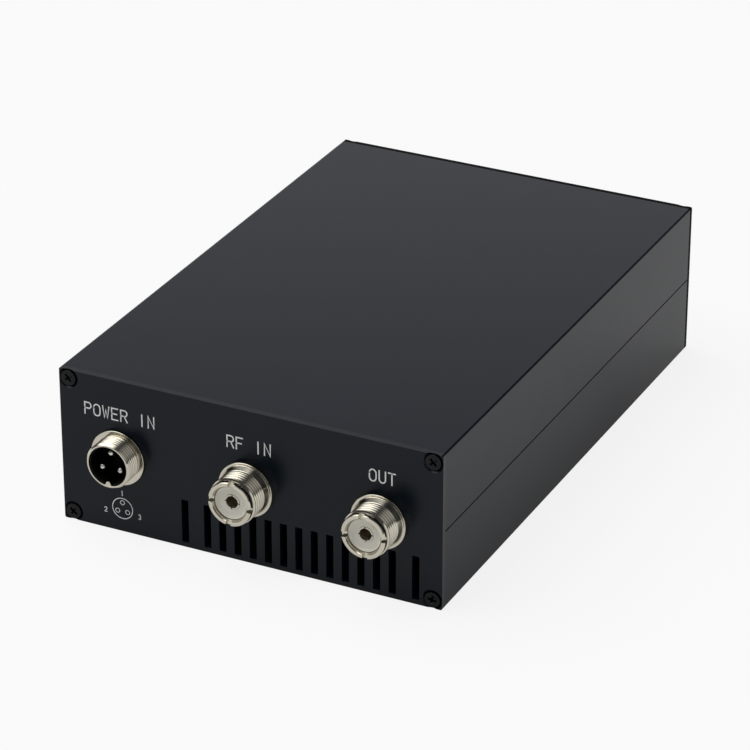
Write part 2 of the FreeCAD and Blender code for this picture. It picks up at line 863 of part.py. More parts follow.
def final_transistors():
    """Two flat-package output transistors with tabs and stepped leads."""
    base = sink_top + pad_thickness
    rear = transistor_y + transistor_tab_length / 2
    front = rear - transistor_tab_length
    body_rear = front + transistor_body_length
    lead_z = base + transistor_lead_height
    _, window_front, _ = transistor_window()
    devices = []
    for x in transistor_places():
        across = centred(x, transistor_width)
        tab = box(across, (front, rear), (base, base + transistor_tab_thickness))
        hole = rod_z(transistor_hole_radius, beyond(base, base + transistor_tab_thickness), x,
                     transistor_hole_y(), small_sides)
        body = box(across, (front, body_rear), (base, base + transistor_thickness))
        device = [tab.cut(hole), body]
        for i in (-1, 0, 1):
            lead_x = centred(x + i * transistor_lead_pitch, transistor_lead_width)
            step_y = (front - transistor_lead_step, front - transistor_lead_step + transistor_lead_thickness)
            level = (lead_z, lead_z + transistor_lead_thickness)
            foot = (board_top, board_top + transistor_lead_thickness)
            device.append(box(lead_x, (step_y[0], front), level))
            device.append(box(lead_x, step_y, (level[0], foot[1])))
            device.append(box(lead_x, (window_front - transistor_lead_foot, step_y[1]), foot))
        devices.append(joined(device))
    return devices


def transistor_pads():
    """Two thin insulating pads under the transistors."""
    pads = []
    for x in transistor_places():
        pad = box(centred(x, transistor_width + pad_margin),
                  centred(transistor_y, transistor_tab_length + pad_margin),
                  (sink_top, sink_top + pad_thickness))
        hole = rod_z(transistor_hole_radius, beyond(sink_top, sink_top), x, transistor_hole_y(), small_sides)
        pads.append(pad.cut(hole))
    return pads


def transistor_screws():
    """Two pan-head screws that hold the transistors down."""
    seat = sink_top + pad_thickness + transistor_tab_thickness
    return [aim(pan_screw(transistor_screw_length), V(0, 0, 1), V(x, transistor_hole_y(), seat))
            for x in transistor_places()]


# ---------------------------------------------------------------- wound parts
def strap_turn(spacing, length, width, at, z):
    """A closed turn of square strap, out through one hole along Y and back through the other."""
    reach = (spacing + width) / 2
    level = centred(z, width)
    outer = box(centred(at[0], 2 * reach), centred(at[1], length), level)
    return outer.cut(box(centred(at[0], 2 * (reach - width)), centred(at[1], length - 2 * width), level))


def input_core():
    """A two-hole ferrite block with chamfered sides."""
    length = centred(input_core_y, input_core_length)
    core = box(centred(input_core_x, input_core_width), length, (board_top, board_top + input_core_height))
    sides = [e for e in core.Edges if e.BoundBox.YLength > input_core_length / 2]
    core = core.makeChamfer(input_core_chamfer, sides)
    for side in (-1, 1):
        x = input_core_x + side * input_core_hole_spacing / 2
        hole = rod_y(input_core_hole_radius, beyond(length[0], length[1]), x, input_axis_z(), small_sides)
        core = core.cut(hole)
    return core


def input_axis_z():
    """The height of the input core's holes."""
    return board_top + input_core_height / 2


def input_winding():
    """The turn through the input core's two holes."""
    length = input_core_length + 2 * strap_reach
    place = (input_core_x, input_core_y)
    return strap_turn(input_core_hole_spacing, length, input_strap, place, input_axis_z())


def output_tube_places():
    """The X of the two tubes of the output transformer."""
    offset = output_core_radius + output_core_gap / 2
    return [vent_centre_x - offset, vent_centre_x + offset]


def output_axis_z():
    """The height of the output transformer's tubes over the floor."""
    return board_top + output_core_radius + output_plate_margin


def tubes_along(outer, inner, length):
    """Two tubes along Y on the output transformer's axes."""
    span = centred(output_core_y, length)
    return [aim(tube(outer, inner, span, screw_sides), V(0, 1, 0), V(x, 0, output_axis_z()))
            for x in output_tube_places()]


def output_cores():
    """Two ferrite sleeves side by side."""
    hole = output_tube_radius + core_seat_gap
    return tubes_along(output_core_radius, hole, output_core_length)


def output_tubes():
    """Two brass tubes through the sleeves, soldered to the end plates."""
    length = output_core_length + 2 * (output_plate_thickness + output_tube_end)
    return tubes_along(output_tube_radius, output_tube_radius - output_tube_wall, length)


def output_end_plates():
    """The two end plates that stand on the board and carry the tubes."""
    z = output_axis_z()
    half_spread = output_core_radius * 2 + output_core_gap / 2 + output_plate_margin
    hole = output_tube_radius + core_seat_gap
    plates = []
    for side in (-1, 1):
        middle = output_core_y + side * (output_core_length + output_plate_thickness) / 2
        plate = box(centred(vent_centre_x, 2 * half_spread), centred(middle, output_plate_thickness),
                    (board_top, z + output_core_radius + output_plate_margin))
        for x in output_tube_places():
            plate = plate.cut(rod_y(hole, centred(middle, 2 * output_plate_thickness), x, z, screw_sides))
        plates.append(plate)
    return plates


def output_winding():
    """The strap turn through both brass tubes."""
    length = output_core_length + 2 * (output_plate_thickness + output_tube_end + strap_reach)
    spacing = 2 * output_core_radius + output_core_gap
    return strap_turn(spacing, length, output_strap, (vent_centre_x, output_core_y), output_axis_z())


def choke_low():
    """The height of the underside of the choke's core."""
    return board_top + winding_thickness + winding_gap


def choke_core():
    """The toroid of the supply choke, held off the board by its turns."""
    core = tube(choke_radius, choke_hole_radius, (choke_low(), choke_low() + choke_height), dish_sides)
    return aim(core, V(0, 0, 1), V(choke_x, choke_y, 0))


def choke_winding():
    """The turns round the toroid."""
    inner_x = (choke_hole_radius - winding_gap, choke_radius + winding_gap)
    outer_x = (inner_x[0] - winding_thickness, inner_x[1] + winding_thickness)
    inner_z = (choke_low() - winding_gap, choke_low() + choke_height + winding_gap)
    outer_z = (inner_z[0] - winding_thickness, inner_z[1] + winding_thickness)
    across = centred(0, winding_thickness)
    turn = box(outer_x, across, outer_z).cut(box(inner_x, across, inner_z))
    turns = turned_about(turn, winding_turns, V(0, 0, 0), V(0, 0, 1))
    for piece in turns:
        piece.translate(V(choke_x, choke_y, 0))
    return turns


# ---------------------------------------------------------------- small board parts
def supply_capacitors():
    """Three upright can capacitors."""
    can = (board_top, board_top + capacitor_height)
    return [rod_z(capacitor_radius, can, capacitor_x, capacitor_first_y + i * capacitor_pitch, round_sides)
            for i in range(capacitor_count)]


def trimmer_places():
    """The two bias trimmers, one for each transistor."""
    return [vent_centre_x + side * trimmer_spread / 2 for side in (-1, 1)]


def bias_trimmers():
    """Two square trimmer bodies, each with a recess for its adjuster."""
    top = board_top + trimmer_height
    recess = (top - trimmer_recess_depth, top + cut_past)
    bodies = []
    for x in trimmer_places():
        body = box(centred(x, trimmer_width), centred(trimmer_y, trimmer_width), (board_top, top))
        bodies.append(body.cut(rod_z(trimmer_recess_radius, recess, x, trimmer_y, round_sides)))
    return bodies


def bias_adjuster(x):
    """The slotted disc that is turned to set the bias."""
    floor = board_top + trimmer_height - trimmer_recess_depth
    top = floor + adjuster_height
    disc = rod_z(adjuster_radius, (floor, top), x, trimmer_y, round_sides)
    slot_length = 2 * (adjuster_radius + cut_past)
    return disc.cut(box(centred(x, slot_length), centred(trimmer_y, adjuster_slot_width),
                        (top - adjuster_slot_depth, top + cut_past)))


def bias_regulator():
    """A small regulator with one flat side."""
    height = (board_top, board_top + regulator_height)
    body = rod_z(regulator_radius, height, regulator_x, input_core_y, round_sides)
    front = input_core_y - regulator_radius - cut_past
    flat = box(centred(regulator_x, 2 * (regulator_radius + cut_past)),
               (front, input_core_y - regulator_flat), beyond(height[0], height[1]))
    return body.cut(flat)


def board_resistors():
    """Three square-bodied load resistors on their leads, midway between the relays."""
    parts = []
    low = board_top + resistor_lift
    middle = (socket_x(0) + socket_x(1)) / 2
    half = resistor_length / 2 - resistor_lead
    for i in range(resistor_count):
        x = middle + (i - (resistor_count - 1) / 2) * resistor_pitch
        body = box(centred(x, resistor_width), centred(relay_y, resistor_length),
                   (low, low + resistor_height))
        legs = [box(centred(x, resistor_lead), centred(end, resistor_lead), (board_top, low))
                for end in (relay_y - half, relay_y + half)]
        parts.append(joined([body] + legs))
    return parts


def board_capacitors():
    """Chip capacitors beside and behind the transistors' windows."""
    width, _, rear = transistor_window()
    left, right = transistor_places()
    beside = width / 2 + chip_side_gap + chip_width / 2
    behind = rear + chip_rear_gap + chip_length / 2
    places = [(left - beside, transistor_y), (vent_centre_x, transistor_y), (right + beside, transistor_y),
              (left - beside, behind), (vent_centre_x, behind), (right + beside, behind)]
    return [box(centred(x, chip_width), centred(y, chip_length), (board_top, board_top + chip_height))
            for x, y in places]


# ---------------------------------------------------------------- relays
def relay_floor():
    """The height of the top of a relay's base."""
    return board_top + relay_base_height


def yoke_top():
    """The height of the top of a relay's yoke."""
    return relay_floor() + yoke_height


def pivot_y():
    """The Y of the line that a relay's armature rocks about."""
    return relay_y + coil_set_back + yoke_centre + yoke_thickness / 2


def relay_base(x):
    """The base plate with the post of the fixed contact."""
    plate = box(centred(x, relay_width), centred(relay_y, relay_length), (board_top, relay_floor()))
    drop = contact_arm_reach * math.sin(math.radians(armature_travel_deg))
    post_top = yoke_top() + armature_lift - drop - post_gap
    post_y = pivot_y() - contact_arm_reach
    post = box(centred(x, post_width), (post_y, post_y + post_thickness), (relay_floor(), post_top))
    return joined([plate, post])


def relay_coil(x):
    """The wound bobbin with its pole, and the yoke beside it."""
    y = relay_y + coil_set_back
    floor = relay_floor()
    top = floor + 2 * coil_flange_thickness + coil_height
    reach = pivot_y() - y + pole / 2
    drop = reach * math.sin(math.radians(armature_travel_deg))
    pole_top = yoke_top() + armature_lift - drop - pole_gap
    flange = (centred(x, coil_flange), centred(y, coil_flange))
    bobbin = joined([box(flange[0], flange[1], (floor, floor + coil_flange_thickness)),
                     rod_z(coil_radius, (floor + coil_flange_thickness, top - coil_flange_thickness), x, y,
                           round_sides),
                     box(flange[0], flange[1], (top - coil_flange_thickness, top)),
                     box(centred(x, pole), centred(y, pole), (top, pole_top))])
    yoke = box(centred(x, yoke_width), (pivot_y() - yoke_thickness, pivot_y()), (floor, yoke_top()))
    return [bobbin, yoke]


def relay_armature(x):
    """The rocking plate with its contact arm."""
    low = yoke_top() + armature_lift
    plate = box(centred(x, yoke_width), (pivot_y() - armature_reach, pivot_y()),
                (low, low + armature_thickness))
    arm = box(centred(x, contact_arm_width), (pivot_y() - contact_arm_reach, pivot_y() - armature_thickness),
              (low, low + contact_arm_thickness))
    return joined([plate, arm])


def relay_cover(x):
    """The closed cap over a relay's works."""
    high = board_top + relay_height
    floor = relay_floor()
    outer = box(centred(x, relay_width), centred(relay_y, relay_length), (floor, high))
    inner = box(centred(x, relay_width - 2 * relay_cover_wall),
                centred(relay_y, relay_length - 2 * relay_cover_wall),
                (floor - cut_past, high - relay_cover_wall))
    return outer.cut(inner)


# ---------------------------------------------------------------- fan
def fan_screw_places():
    """The fan's four screw holes."""
    half = fan_hole_pitch / 2
    return [(vent_centre_x + sx * half, socket_z + sz * half) for sx in (-1, 1) for sz in (-1, 1)]


def on_fan_axis(shape):
    """Move a shape made about the Y axis to the fan's axis."""
    shape.translate(V(vent_centre_x, 0, socket_z))
    return shape


def bearing_outer():
    """The outer radius of the bearing tube."""
    return shaft_radius + shaft_fit + bearing_wall


def hub_rear():
    """The Y of the open rear end of the impeller's hub."""
    return shell_rear - hub_plate - hub_rear_gap


def bearing_front():
    """The Y of the front end of the bearing tube."""
    return fan_front + hub_front_gap + hub_plate + hub_rear_gap


def fan_frame():
    """The square frame with its bore, rear struts and motor plate."""
    depth = (fan_front, shell_rear)
    frame = box(centred(0, fan_size), depth, centred(0, fan_size))
    upright = [e for e in frame.Edges if abs(e.BoundBox.YLength - fan_depth) < hair]
    frame = frame.makeChamfer(fan_corner_chamfer, upright)
    bore = clear_of(fan_bore_radius, bore_sides)
    frame = frame.cut(rod_y(bore, beyond(depth[0], depth[1]), sides=bore_sides))
    strut = box(beyond(hub_radius, fan_bore_radius), (shell_rear - strut_depth, shell_rear),
                centred(0, strut_width))
    strut.rotate(V(0, 0, 0), V(0, 1, 0), strut_turn_deg)
    struts = turned_about(strut, strut_count, V(0, 0, 0), V(0, 1, 0))
    plate = rod_y(hub_radius, (shell_rear - hub_plate, shell_rear), sides=barrel_sides)
    frame = on_fan_axis(joined([frame, plate] + struts))
    for x, z in fan_screw_places():
        frame = frame.cut(aim(pilot(beyond(fan_front, shell_rear)), V(0, 1, 0), V(x, 0, z)))
    return frame


def blade_section(radius, chord, angle_deg):
    """The corners of a blade's section, square to the blade's own radius, bent once at mid-chord."""
    angle = math.radians(angle_deg)
    half = chord / 2
    shape = [(-half, 0), (0, -blade_camber), (half, 0),
             (half, blade_thickness), (0, blade_thickness - blade_camber), (-half, blade_thickness)]
    points = []
    for along, across in shape:
        axial = along * math.cos(angle) - across * math.sin(angle)
        round_way = along * math.sin(angle) + across * math.cos(angle)
        points.append(V(radius, axial, round_way))
    return points


def blade_sections():
    """Sections from inside the hub to past the blade's tip, each turned further than the last."""
    first = hub_radius - blade_root_depth
    sections = []
    for i in range(blade_stations):
        share = i / (blade_stations - 1)
        radius = first + share * (fan_bore_radius - first)
        chord = blade_chord_root + share * (blade_chord_tip - blade_chord_root)
        angle = blade_angle_root + share * (blade_angle_tip - blade_angle_root)
        sections.append(blade_section(radius, chord, angle))
    return sections


def three_cornered(points):
    """A flat face on three points."""
    return Part.Face(Part.makePolygon(points + points[:1]))


def fan_blade():
    """One twisted blade between the hub and the running gap at the frame, with flat facets."""
    sections = blade_sections()
    count = len(sections[0])
    faces = []
    for near, far in zip(sections, sections[1:]):
        for i in range(count):
            j = (i + 1) % count
            faces.append(three_cornered([near[i], near[j], far[j]]))
            faces.append(three_cornered([near[i], far[j], far[i]]))
    for section in (sections[0], sections[-1]):
        faces.append(Part.Face(Part.makePolygon(section + section[:1])))
    blade = flat_sided(faces)
    middle = (fan_front + hub_front_gap + hub_rear()) / 2
    blade.translate(V(0, middle, 0))
    swept = (fan_front + blade_front_gap, hub_rear())
    tip = fan_bore_radius - blade_tip_gap
    ring = rod_y(tip, swept, sides=bore_sides)
    core = rod_y(hub_radius - hub_wall / 2, beyond(swept[0], swept[1]), sides=barrel_sides)
    return blade.common(ring).cut(core)


def fan_impeller():
    """The hub cup with its five twisted blades."""
    front = fan_front + hub_front_gap
    cup = rod_y(hub_radius, (front, hub_rear()), sides=barrel_sides)
    hollow = clear_of(hub_radius - hub_wall, barrel_sides)
    cup = cup.cut(rod_y(hollow, (front + hub_plate, hub_rear() + cut_past), sides=barrel_sides))
    blades = turned_about(fan_blade(), blade_count, V(0, 0, 0), V(0, 1, 0))
    seat = front + hub_plate - shaft_seat
    hole = rod_y(shaft_radius + shaft_press_gap, (seat, front + hub_plate + cut_past))
    return on_fan_axis(joined([cup] + blades).cut(hole))


def magnet_span():
    """The Y span of the rotor magnet inside the hub."""
    return (fan_front + hub_front_gap + hub_plate, hub_rear() - magnet_end_gap)


def magnet_inner():
    """The radius of the hole through the rotor magnet."""
    return hub_radius - hub_wall - magnet_fit - magnet_thickness


def fan_magnet():
    """The ring magnet glued into the hub."""
    hole = clear_of(magnet_inner(), dish_sides)
    ring = tube(hub_radius - hub_wall - magnet_fit, hole, magnet_span(), dish_sides)
    return on_fan_axis(aim(ring, V(0, 1, 0), V(0, 0, 0)))


def fan_shaft():
    """The shaft, from the hub's plate to the end of the bearing."""
    front = fan_front + hub_front_gap + hub_plate - shaft_seat
    return on_fan_axis(rod_y(shaft_radius, (front, shell_rear - hub_plate - hub_rear_gap / 2)))


def fan_bearing():
    """The bearing tube that stands on the frame's motor plate."""
    span = (bearing_front(), shell_rear - hub_plate)
    sleeve = rod_y(bearing_outer(), span, sides=screw_sides)
    return on_fan_axis(sleeve.cut(rod_y(shaft_radius + shaft_fit, span)))


def fan_stator():
    """The stator round the bearing tube: a core with a shoe on the end of each pole."""
    inner = bearing_outer() + bearing_seat_gap
    reach = math.sqrt((magnet_inner() - rotor_air_gap) ** 2 - (stator_shoe_width / 2) ** 2)
    span = centred((bearing_front() + shell_rear - hub_plate) / 2, stator_length)
    pole = box((inner, reach), span, centred(0, stator_pole_width))
    shoe = box((reach - stator_shoe, reach), span, centred(0, stator_shoe_width))
    core = rod_y(inner + stator_core_wall, span, sides=screw_sides)
    poles = turned_about(joined([pole, shoe]), stator_pole_count, V(0, 0, 0), V(0, 1, 0))
    core = joined([core] + poles).cut(rod_y(inner, span, sides=screw_sides))
    return on_fan_axis(core)


def fan_screws():
    """Four screws through the rear panel into the fan's frame."""
    screw = flat_screw(fan_screw_length, small_sides)
    return [aim(screw, V(0, 1, 0), V(x, rear_face, z)) for x, z in fan_screw_places()]


def fan_connector():
    """The small plug and header of the fan's leads."""
    width, length, height = fan_connector_size
    return box(centred(fan_lead_x, width), centred(fan_connector_y, length), (board_top, board_top + height))


# ---------------------------------------------------------------- leads
def rounded_route(points, radius, name):
    """A lead along straight runs joined by tangent arcs."""
    corners = [V(*point) for point in points]
    edges = []
    start = corners[0]
    for before, corner, after in zip(corners, corners[1:], corners[2:]):
        back = (before - corner).normalize()
        on = (after - corner).normalize()
        half_turn = (math.pi - back.getAngle(on)) / 2
        reach = lead_bend_share * min((before - corner).Length, (after - corner).Length)
        bend = reach / math.tan(half_turn)
        first = corner + back * reach
        last = corner + on * reach
        middle_way = (back + on).normalize()
        centre = corner + middle_way * (bend / math.cos(half_turn))
        middle = centre - middle_way * bend
        edges.append(Part.LineSegment(start, first).toShape())
        edges.append(Part.Arc(first, middle, last).toShape())
        print("%s bend radius %.1f mm" % (name, bend))
        start = last
    edges.append(Part.LineSegment(start, corners[-1]).toShape())
    path = Part.Wire(edges)
    turns = [2 * math.pi * (i + 0.5) / lead_sides for i in range(lead_sides + 1)]
    ring = [V(0, radius * math.sin(turn), radius * math.cos(turn)) for turn in turns]
    section = aim(Part.makePolygon(ring), corners[1] - corners[0], corners[0])
    lead = path.makePipeShell([section], True, False)
    share = lead.Volume / (Part.Face(section).Area * path.Length)
    print("%s length %.1f mm, volume %.4f of section times length" % (name, path.Length, share))
    return lead


def dc_leads():
    """Three leads from the inlet's pins to pads on the board, where they lie flat."""
    start = front_face + dc_tail + dc_pin_tail
    edge = board_front + board_notch_length
    landing = edge - dc_lead_landing
    low = board_top + dc_lead_radius * math.cos(math.pi / lead_sides)
    leads = []
    for i, (across, up) in enumerate(pin_places()):
        x = socket_x(-1) - across
        z = socket_z + up
        route = [(x, start, z), (x, start + dc_lead_straight, z), (x, landing, low),
                 (x, edge + dc_lead_pad, low)]
        leads.append(rounded_route(route, dc_lead_radius, "dc lead %d" % (i + 1)))
    return leads


def rf_leads():
    """Two straight leads from the sockets' contacts, each with its foot on the board."""
    start = front_face + uhf_body_length + contact_tail - uhf_reach
    span = (start, relay_y - relay_length / 2 - rf_lead_end_gap)
    leads = []
    for place in (0, 1):
        wire = rod_y(rf_lead_radius, span, socket_x(place), socket_z, lead_sides)
        foot = box(centred(socket_x(place), 2 * rf_lead_radius), (span[1] - 2 * rf_lead_radius, span[1]),
                   (board_top, socket_z))
        leads.append(joined([wire, foot]))
    return leads


def fan_leads():
    """Two leads from a corner of the fan's frame down to its connector on the board."""
    rear = fan_connector_y + fan_connector_size[1] / 2
    low = board_top + fan_connector_size[2] / 2
    high = socket_z + fan_hole_pitch / 2 - fan_lead_drop
    leads = []
    for name, side in (("left", -1), ("right", 1)):
        x = fan_lead_x + side * fan_lead_pitch / 2
        route = [(x, fan_front, high), (x, fan_front - fan_lead_straight, high),
                 (x, rear + fan_lead_straight, low), (x, rear, low)]
        leads.append(rounded_route(route, fan_lead_radius, "fan lead " + name))
    return leads


# ---------------------------------------------------------------- the whole amplifier
def sockets():
    """The input and antenna sockets, with shared fasteners."""
    nodes = {}
    for name, place in (("input_socket", 0), ("antenna_socket", 1)):
        x = socket_x(place)
        nodes[name + "_body"] = face_out(uhf_body(), x, socket_z)
        nodes[name + "_insulator"] = face_out(uhf_insulator(), x, socket_z)
        nodes[name + "_contact"] = face_out(uhf_contact(), x, socket_z)
    places = (socket_x(0), socket_x(1))
    nodes["socket_tag_washers"] = [face_out(tag_washer(), x, socket_z) for x in places]
    nodes["socket_nuts"] = [face_out(socket_nut(uhf_thread_radius), x, socket_z) for x in places]
    return nodes


def inlet():
    """The supply inlet's pieces."""
    x = socket_x(-1)
    return {
        "dc_inlet_body": face_out(dc_body(), x, socket_z),
        "dc_inlet_insulator": face_out(dc_insulator(), x, socket_z),
        "dc_inlet_pins": dc_pins(),
        "dc_inlet_washer": face_out(dc_washer(), x, socket_z),
        "dc_inlet_nut": face_out(socket_nut(dc_thread_radius), x, socket_z),
    }


def relays():
    """The input relay behind the input socket and the output relay behind the antenna socket."""
    nodes = {}
    for name, place in (("input_relay", 0), ("output_relay", 1)):
        x = socket_x(place)
        nodes[name + "_base"] = relay_base(x)
        nodes[name + "_coil"] = relay_coil(x)
        nodes[name + "_armature"] = relay_armature(x)
        nodes[name + "_cover"] = relay_cover(x)
    return nodes


def all_nodes():
    """Every sub-part, by the name of its file."""
    left, right = trimmer_places()
    nodes = {
        "top_shell": top_shell(),
        "bottom_shell": bottom_shell(),
        "front_panel": front_panel(),
        "rear_panel": rear_panel(),
        "panel_screws": panel_screws(),
        "heat_sink": heat_sink(),
        "heat_sink_screws": heat_sink_screws(),
        "main_board": main_board(),
        "board_spacers": board_spacers(),
        "board_screws": board_screws(),
        "final_transistors": final_transistors(),
        "transistor_pads": transistor_pads(),
        "transistor_screws": transistor_screws(),
        "input_transformer_core": input_core(),
        "input_transformer_winding": input_winding(),
        "output_transformer_cores": output_cores(),
        "output_transformer_tubes": output_tubes(),
        "output_transformer_end_plates": output_end_plates(),
        "output_transformer_winding": output_winding(),
        "choke_core": choke_core(),
        "choke_winding": choke_winding(),
        "supply_capacitors": supply_capacitors(),
        "bias_trimmers": bias_trimmers(),
        "left_bias_adjuster": bias_adjuster(left),
        "right_bias_adjuster": bias_adjuster(right),
        "bias_regulator": bias_regulator(),
        "board_resistors": board_resistors(),
        "board_capacitors": board_capacitors(),
        "fan_frame": fan_frame(),
        "fan_impeller": fan_impeller(),
        "fan_magnet": fan_magnet(),
        "fan_shaft": fan_shaft(),
        "fan_bearing": fan_bearing(),
        "fan_stator": fan_stator(),
        "fan_screws": fan_screws(),
        "fan_connector": fan_connector(),
        "dc_leads": dc_leads(),
        "rf_leads": rf_leads(),
        "fan_leads": fan_leads(),
    }
    nodes.update(inlet())
    nodes.update(sockets())
    nodes.update(relays())
    return nodes


for node, shape in all_nodes().items():
    whole = Part.makeCompound(shape) if isinstance(shape, list) else shape
    whole.exportStep("parts/%s.step" % node)
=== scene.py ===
"""The amplifier as it looks: sockets, inlet, screws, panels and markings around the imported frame.

Blender units are metres.  Sizes below are in millimetres and are turned into metres where a
mesh is made.  The front panel faces -Y, +Z is up and the enclosure stands on Z = 0.
"""

import json
import math

import bmesh
import bpy
from mathutils import Matrix, Vector


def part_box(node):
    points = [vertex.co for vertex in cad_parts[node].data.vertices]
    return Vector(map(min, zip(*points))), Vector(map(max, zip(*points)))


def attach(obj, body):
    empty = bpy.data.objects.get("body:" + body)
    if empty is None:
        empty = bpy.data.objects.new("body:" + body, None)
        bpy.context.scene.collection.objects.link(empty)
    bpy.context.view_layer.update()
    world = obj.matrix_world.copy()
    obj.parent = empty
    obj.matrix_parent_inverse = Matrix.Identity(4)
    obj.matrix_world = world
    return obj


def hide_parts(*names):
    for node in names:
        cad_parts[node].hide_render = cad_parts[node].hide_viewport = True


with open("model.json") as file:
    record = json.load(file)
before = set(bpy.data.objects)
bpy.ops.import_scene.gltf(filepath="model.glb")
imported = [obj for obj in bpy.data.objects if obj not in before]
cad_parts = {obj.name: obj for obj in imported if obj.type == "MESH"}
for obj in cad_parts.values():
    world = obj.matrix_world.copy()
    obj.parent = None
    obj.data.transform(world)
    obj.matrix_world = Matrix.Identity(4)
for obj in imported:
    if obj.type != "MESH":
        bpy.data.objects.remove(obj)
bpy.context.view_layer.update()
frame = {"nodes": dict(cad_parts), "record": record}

MM = 0.001
TURN = 2 * math.pi

# ---------------------------------------------------------------- sizes in millimetres
CASE_WIDTH = 134.0
CASE_HEIGHT = 54.0
HALF_HEIGHT = CASE_HEIGHT / 2
HALF_WIDTH = CASE_WIDTH / 2
PANEL_THICKNESS = 2.0
CORNER_RADIUS = 0.6
PANEL_EDGE = 0.15
CUT_EDGE = 0.12
CUT_PAST = 1.0
CUT_AROUND = 0.8
HOLE_CLEARANCE = 0.15
RIM_DEPTH = 0.7

# Roundings of turned and cut edges.
ROUND_HAIR = 0.04
ROUND_CREASE = 0.08
ROUND_FINE = 0.1
ROUND_EDGE = 0.12
ROUND_FOOT = 0.15
ROUND_TAIL = 0.2
ROUND_RIM = 0.22
ROUND_FLANGE = 0.25
ROUND_INNER = 0.3
ROUND_BARREL = 0.4

SCREW_INSET_X = 3.35
SCREW_INSET_Z = 3.0
HEAD_RADIUS = 2.75
HEAD_HEIGHT = 1.6
SHANK_RADIUS = 1.2
SHANK_CHAMFER = 0.4
SCREW_LENGTH = 9.0
SINK_RADIUS = 3.4
HOLE_RADIUS = 1.5
CROSS_HALF_LENGTH = 1.55
CROSS_HALF_WIDTH = 0.42
CROSS_DEPTH = 1.25
CROSS_ABOVE = 0.3
# Shares of the cross's length at its mouth and foot, and of its width at its foot.
CROSS_MOUTH = 1.1
CROSS_FOOT = 0.45
CROSS_FOOT_SLIM = 0.7

VENT_CENTRE = 17.7
VENT_PITCH = 5.39
VENT_COUNT = 13
VENT_END_STEP = 8.0
VENT_WIDTH = 2.5
VENT_BOTTOM = 1.75
VENT_HEIGHT = 15.25
VENT_ROUND = 0.25

GRILLE_RADIUS = 18.0
GRILLE_SLOT = 2.6
GRILLE_ROUND = 0.4
GRILLE_PITCH = 4.5
GRILLE_COUNT = 8
FAN_HOLE_PITCH = 32.0

BARREL_INSET = 0.1
FIT_CLEARANCE = 0.05
THREAD_FADE = 0.6

UHF_THREAD = 7.9375
UHF_PITCH = 1.2
UHF_DEPTH = 0.5
UHF_THREAD_LEAD = 0.3
UHF_CONE = 8.6
UHF_CONE_LENGTH = 1.7
UHF_REACH = 12.4
UHF_BODY = 24.0
UHF_FLANGE = 9.4
UHF_FLANGE_THICKNESS = 2.0
UHF_RING = 7.6
UHF_RING_LENGTH = 1.7
UHF_RING_ROUND = 0.8
UHF_GROOVE = 7.2
UHF_GROOVE_WIDTH = 0.55
UHF_BORE = 5.7
UHF_MOUTH = 6.2
UHF_MOUTH_DEPTH = 1.1
UHF_NOTCH_WIDTH = 1.8
UHF_NOTCH_DEPTH = 1.15
UHF_RIM_SET_BACK = 1.2
UHF_DISH_DEPTH = 0.9
UHF_DISH_FLOOR = 4.7
UHF_DISH_ROUND = 1.2
UHF_DISH_RIM = 0.2
UHF_DISH_CHAMFER = 0.1
UHF_INSULATOR_LENGTH = 20.5
CONTACT_RADIUS = 2.6
CONTACT_BORE = 2.05
CONTACT_BORE_DEPTH = 9.0
CONTACT_BORE_TIP = 0.5
CONTACT_END_FLAT = 0.3
CONTACT_SET_BACK = 1.9
CONTACT_TAIL = 3.0
CONTACT_SLIT = 0.4
CONTACT_SLIT_LENGTH = 6.0
CONTACT_SLIT_PAST = 0.5

DC_THREAD = 7.8
DC_PITCH = 1.0
DC_DEPTH = 0.4
DC_THREAD_GAP = 0.3
DC_REACH = 7.5
DC_LIP = 0.55
DC_LIP_CHAMFER = 0.45
DC_MOUTH_LIP = 0.1
DC_FLANGE = 9.5
DC_FLANGE_THICKNESS = 1.3
DC_BORE = 6.95
DC_TAIL = 10.0
DC_KEY_WIDTH = 2.9
DC_KEY_TIP = 0.45
DC_KEY_HEIGHT = 1.55
DC_KEY_ROOT = 0.4
DC_KEY_SET_BACK = 0.1
DC_KEY_CLEARANCE = 0.15
DC_FLOOR = -0.5
DC_LINER = 0.6
DC_LINER_SET_BACK = 0.6
DC_PIN = 1.05
DC_PIN_CIRCLE = 3.75
DC_PIN_SET_BACK = 1.8
DC_PIN_TAIL = 4.0
DC_PIN_CLEARANCE = 0.04
DC_PIN_CUT_PAST = 2.0

LETTER_HEIGHT = 4.45
LETTER_WIDTH = 2.7
LETTER_PITCH = 3.25
LETTER_LINE = 0.45
LETTER_FOOT = 39.65
LETTER_SHIFT = 0.6
CELL_WIDTH = 4
CELL_HEIGHT = 6
MITRE_LIMIT = 0.5
INK_PROUD = 0.03
PINOUT_PLACE = (21.6, 8.4)
PINOUT_RADIUS = 3.65
PINOUT_HOLE = 0.75
PINOUT_LINE = 0.28
PINOUT_THIN_SHARE = 0.8
PINOUT_PIN_SHARE = 0.56
PINOUT_NUMBERS = (("1", 0.0, 4.5), ("2", -6.2, -2.6), ("3", 6.2, -2.6))
SMALL_HEIGHT = 1.9
SMALL_LINE = 0.26

RING_SEGMENTS = 96
THREAD_SEGMENTS = 128
ROWS_PER_PITCH = 20
HOLE_SEGMENTS = 64
PIN_SEGMENTS = 48
PIN_DOME_STEPS = 8
PIN_HOLE_SEGMENTS = 32
RING_STEPS = 48
SMALL_RING_STEPS = 24
CORNER_STEPS = 6
KEY_STEPS = 5
BEVEL_SEGMENTS = 2
BEVEL_ANGLE = math.radians(50)
SMOOTH_ANGLE = math.radians(32)
WELD_DISTANCE = 1e-4
FLAT_WEIGHT = 100
EASE_SHARE = 0.45
NOISE_RANGE = (0.3, 0.7)
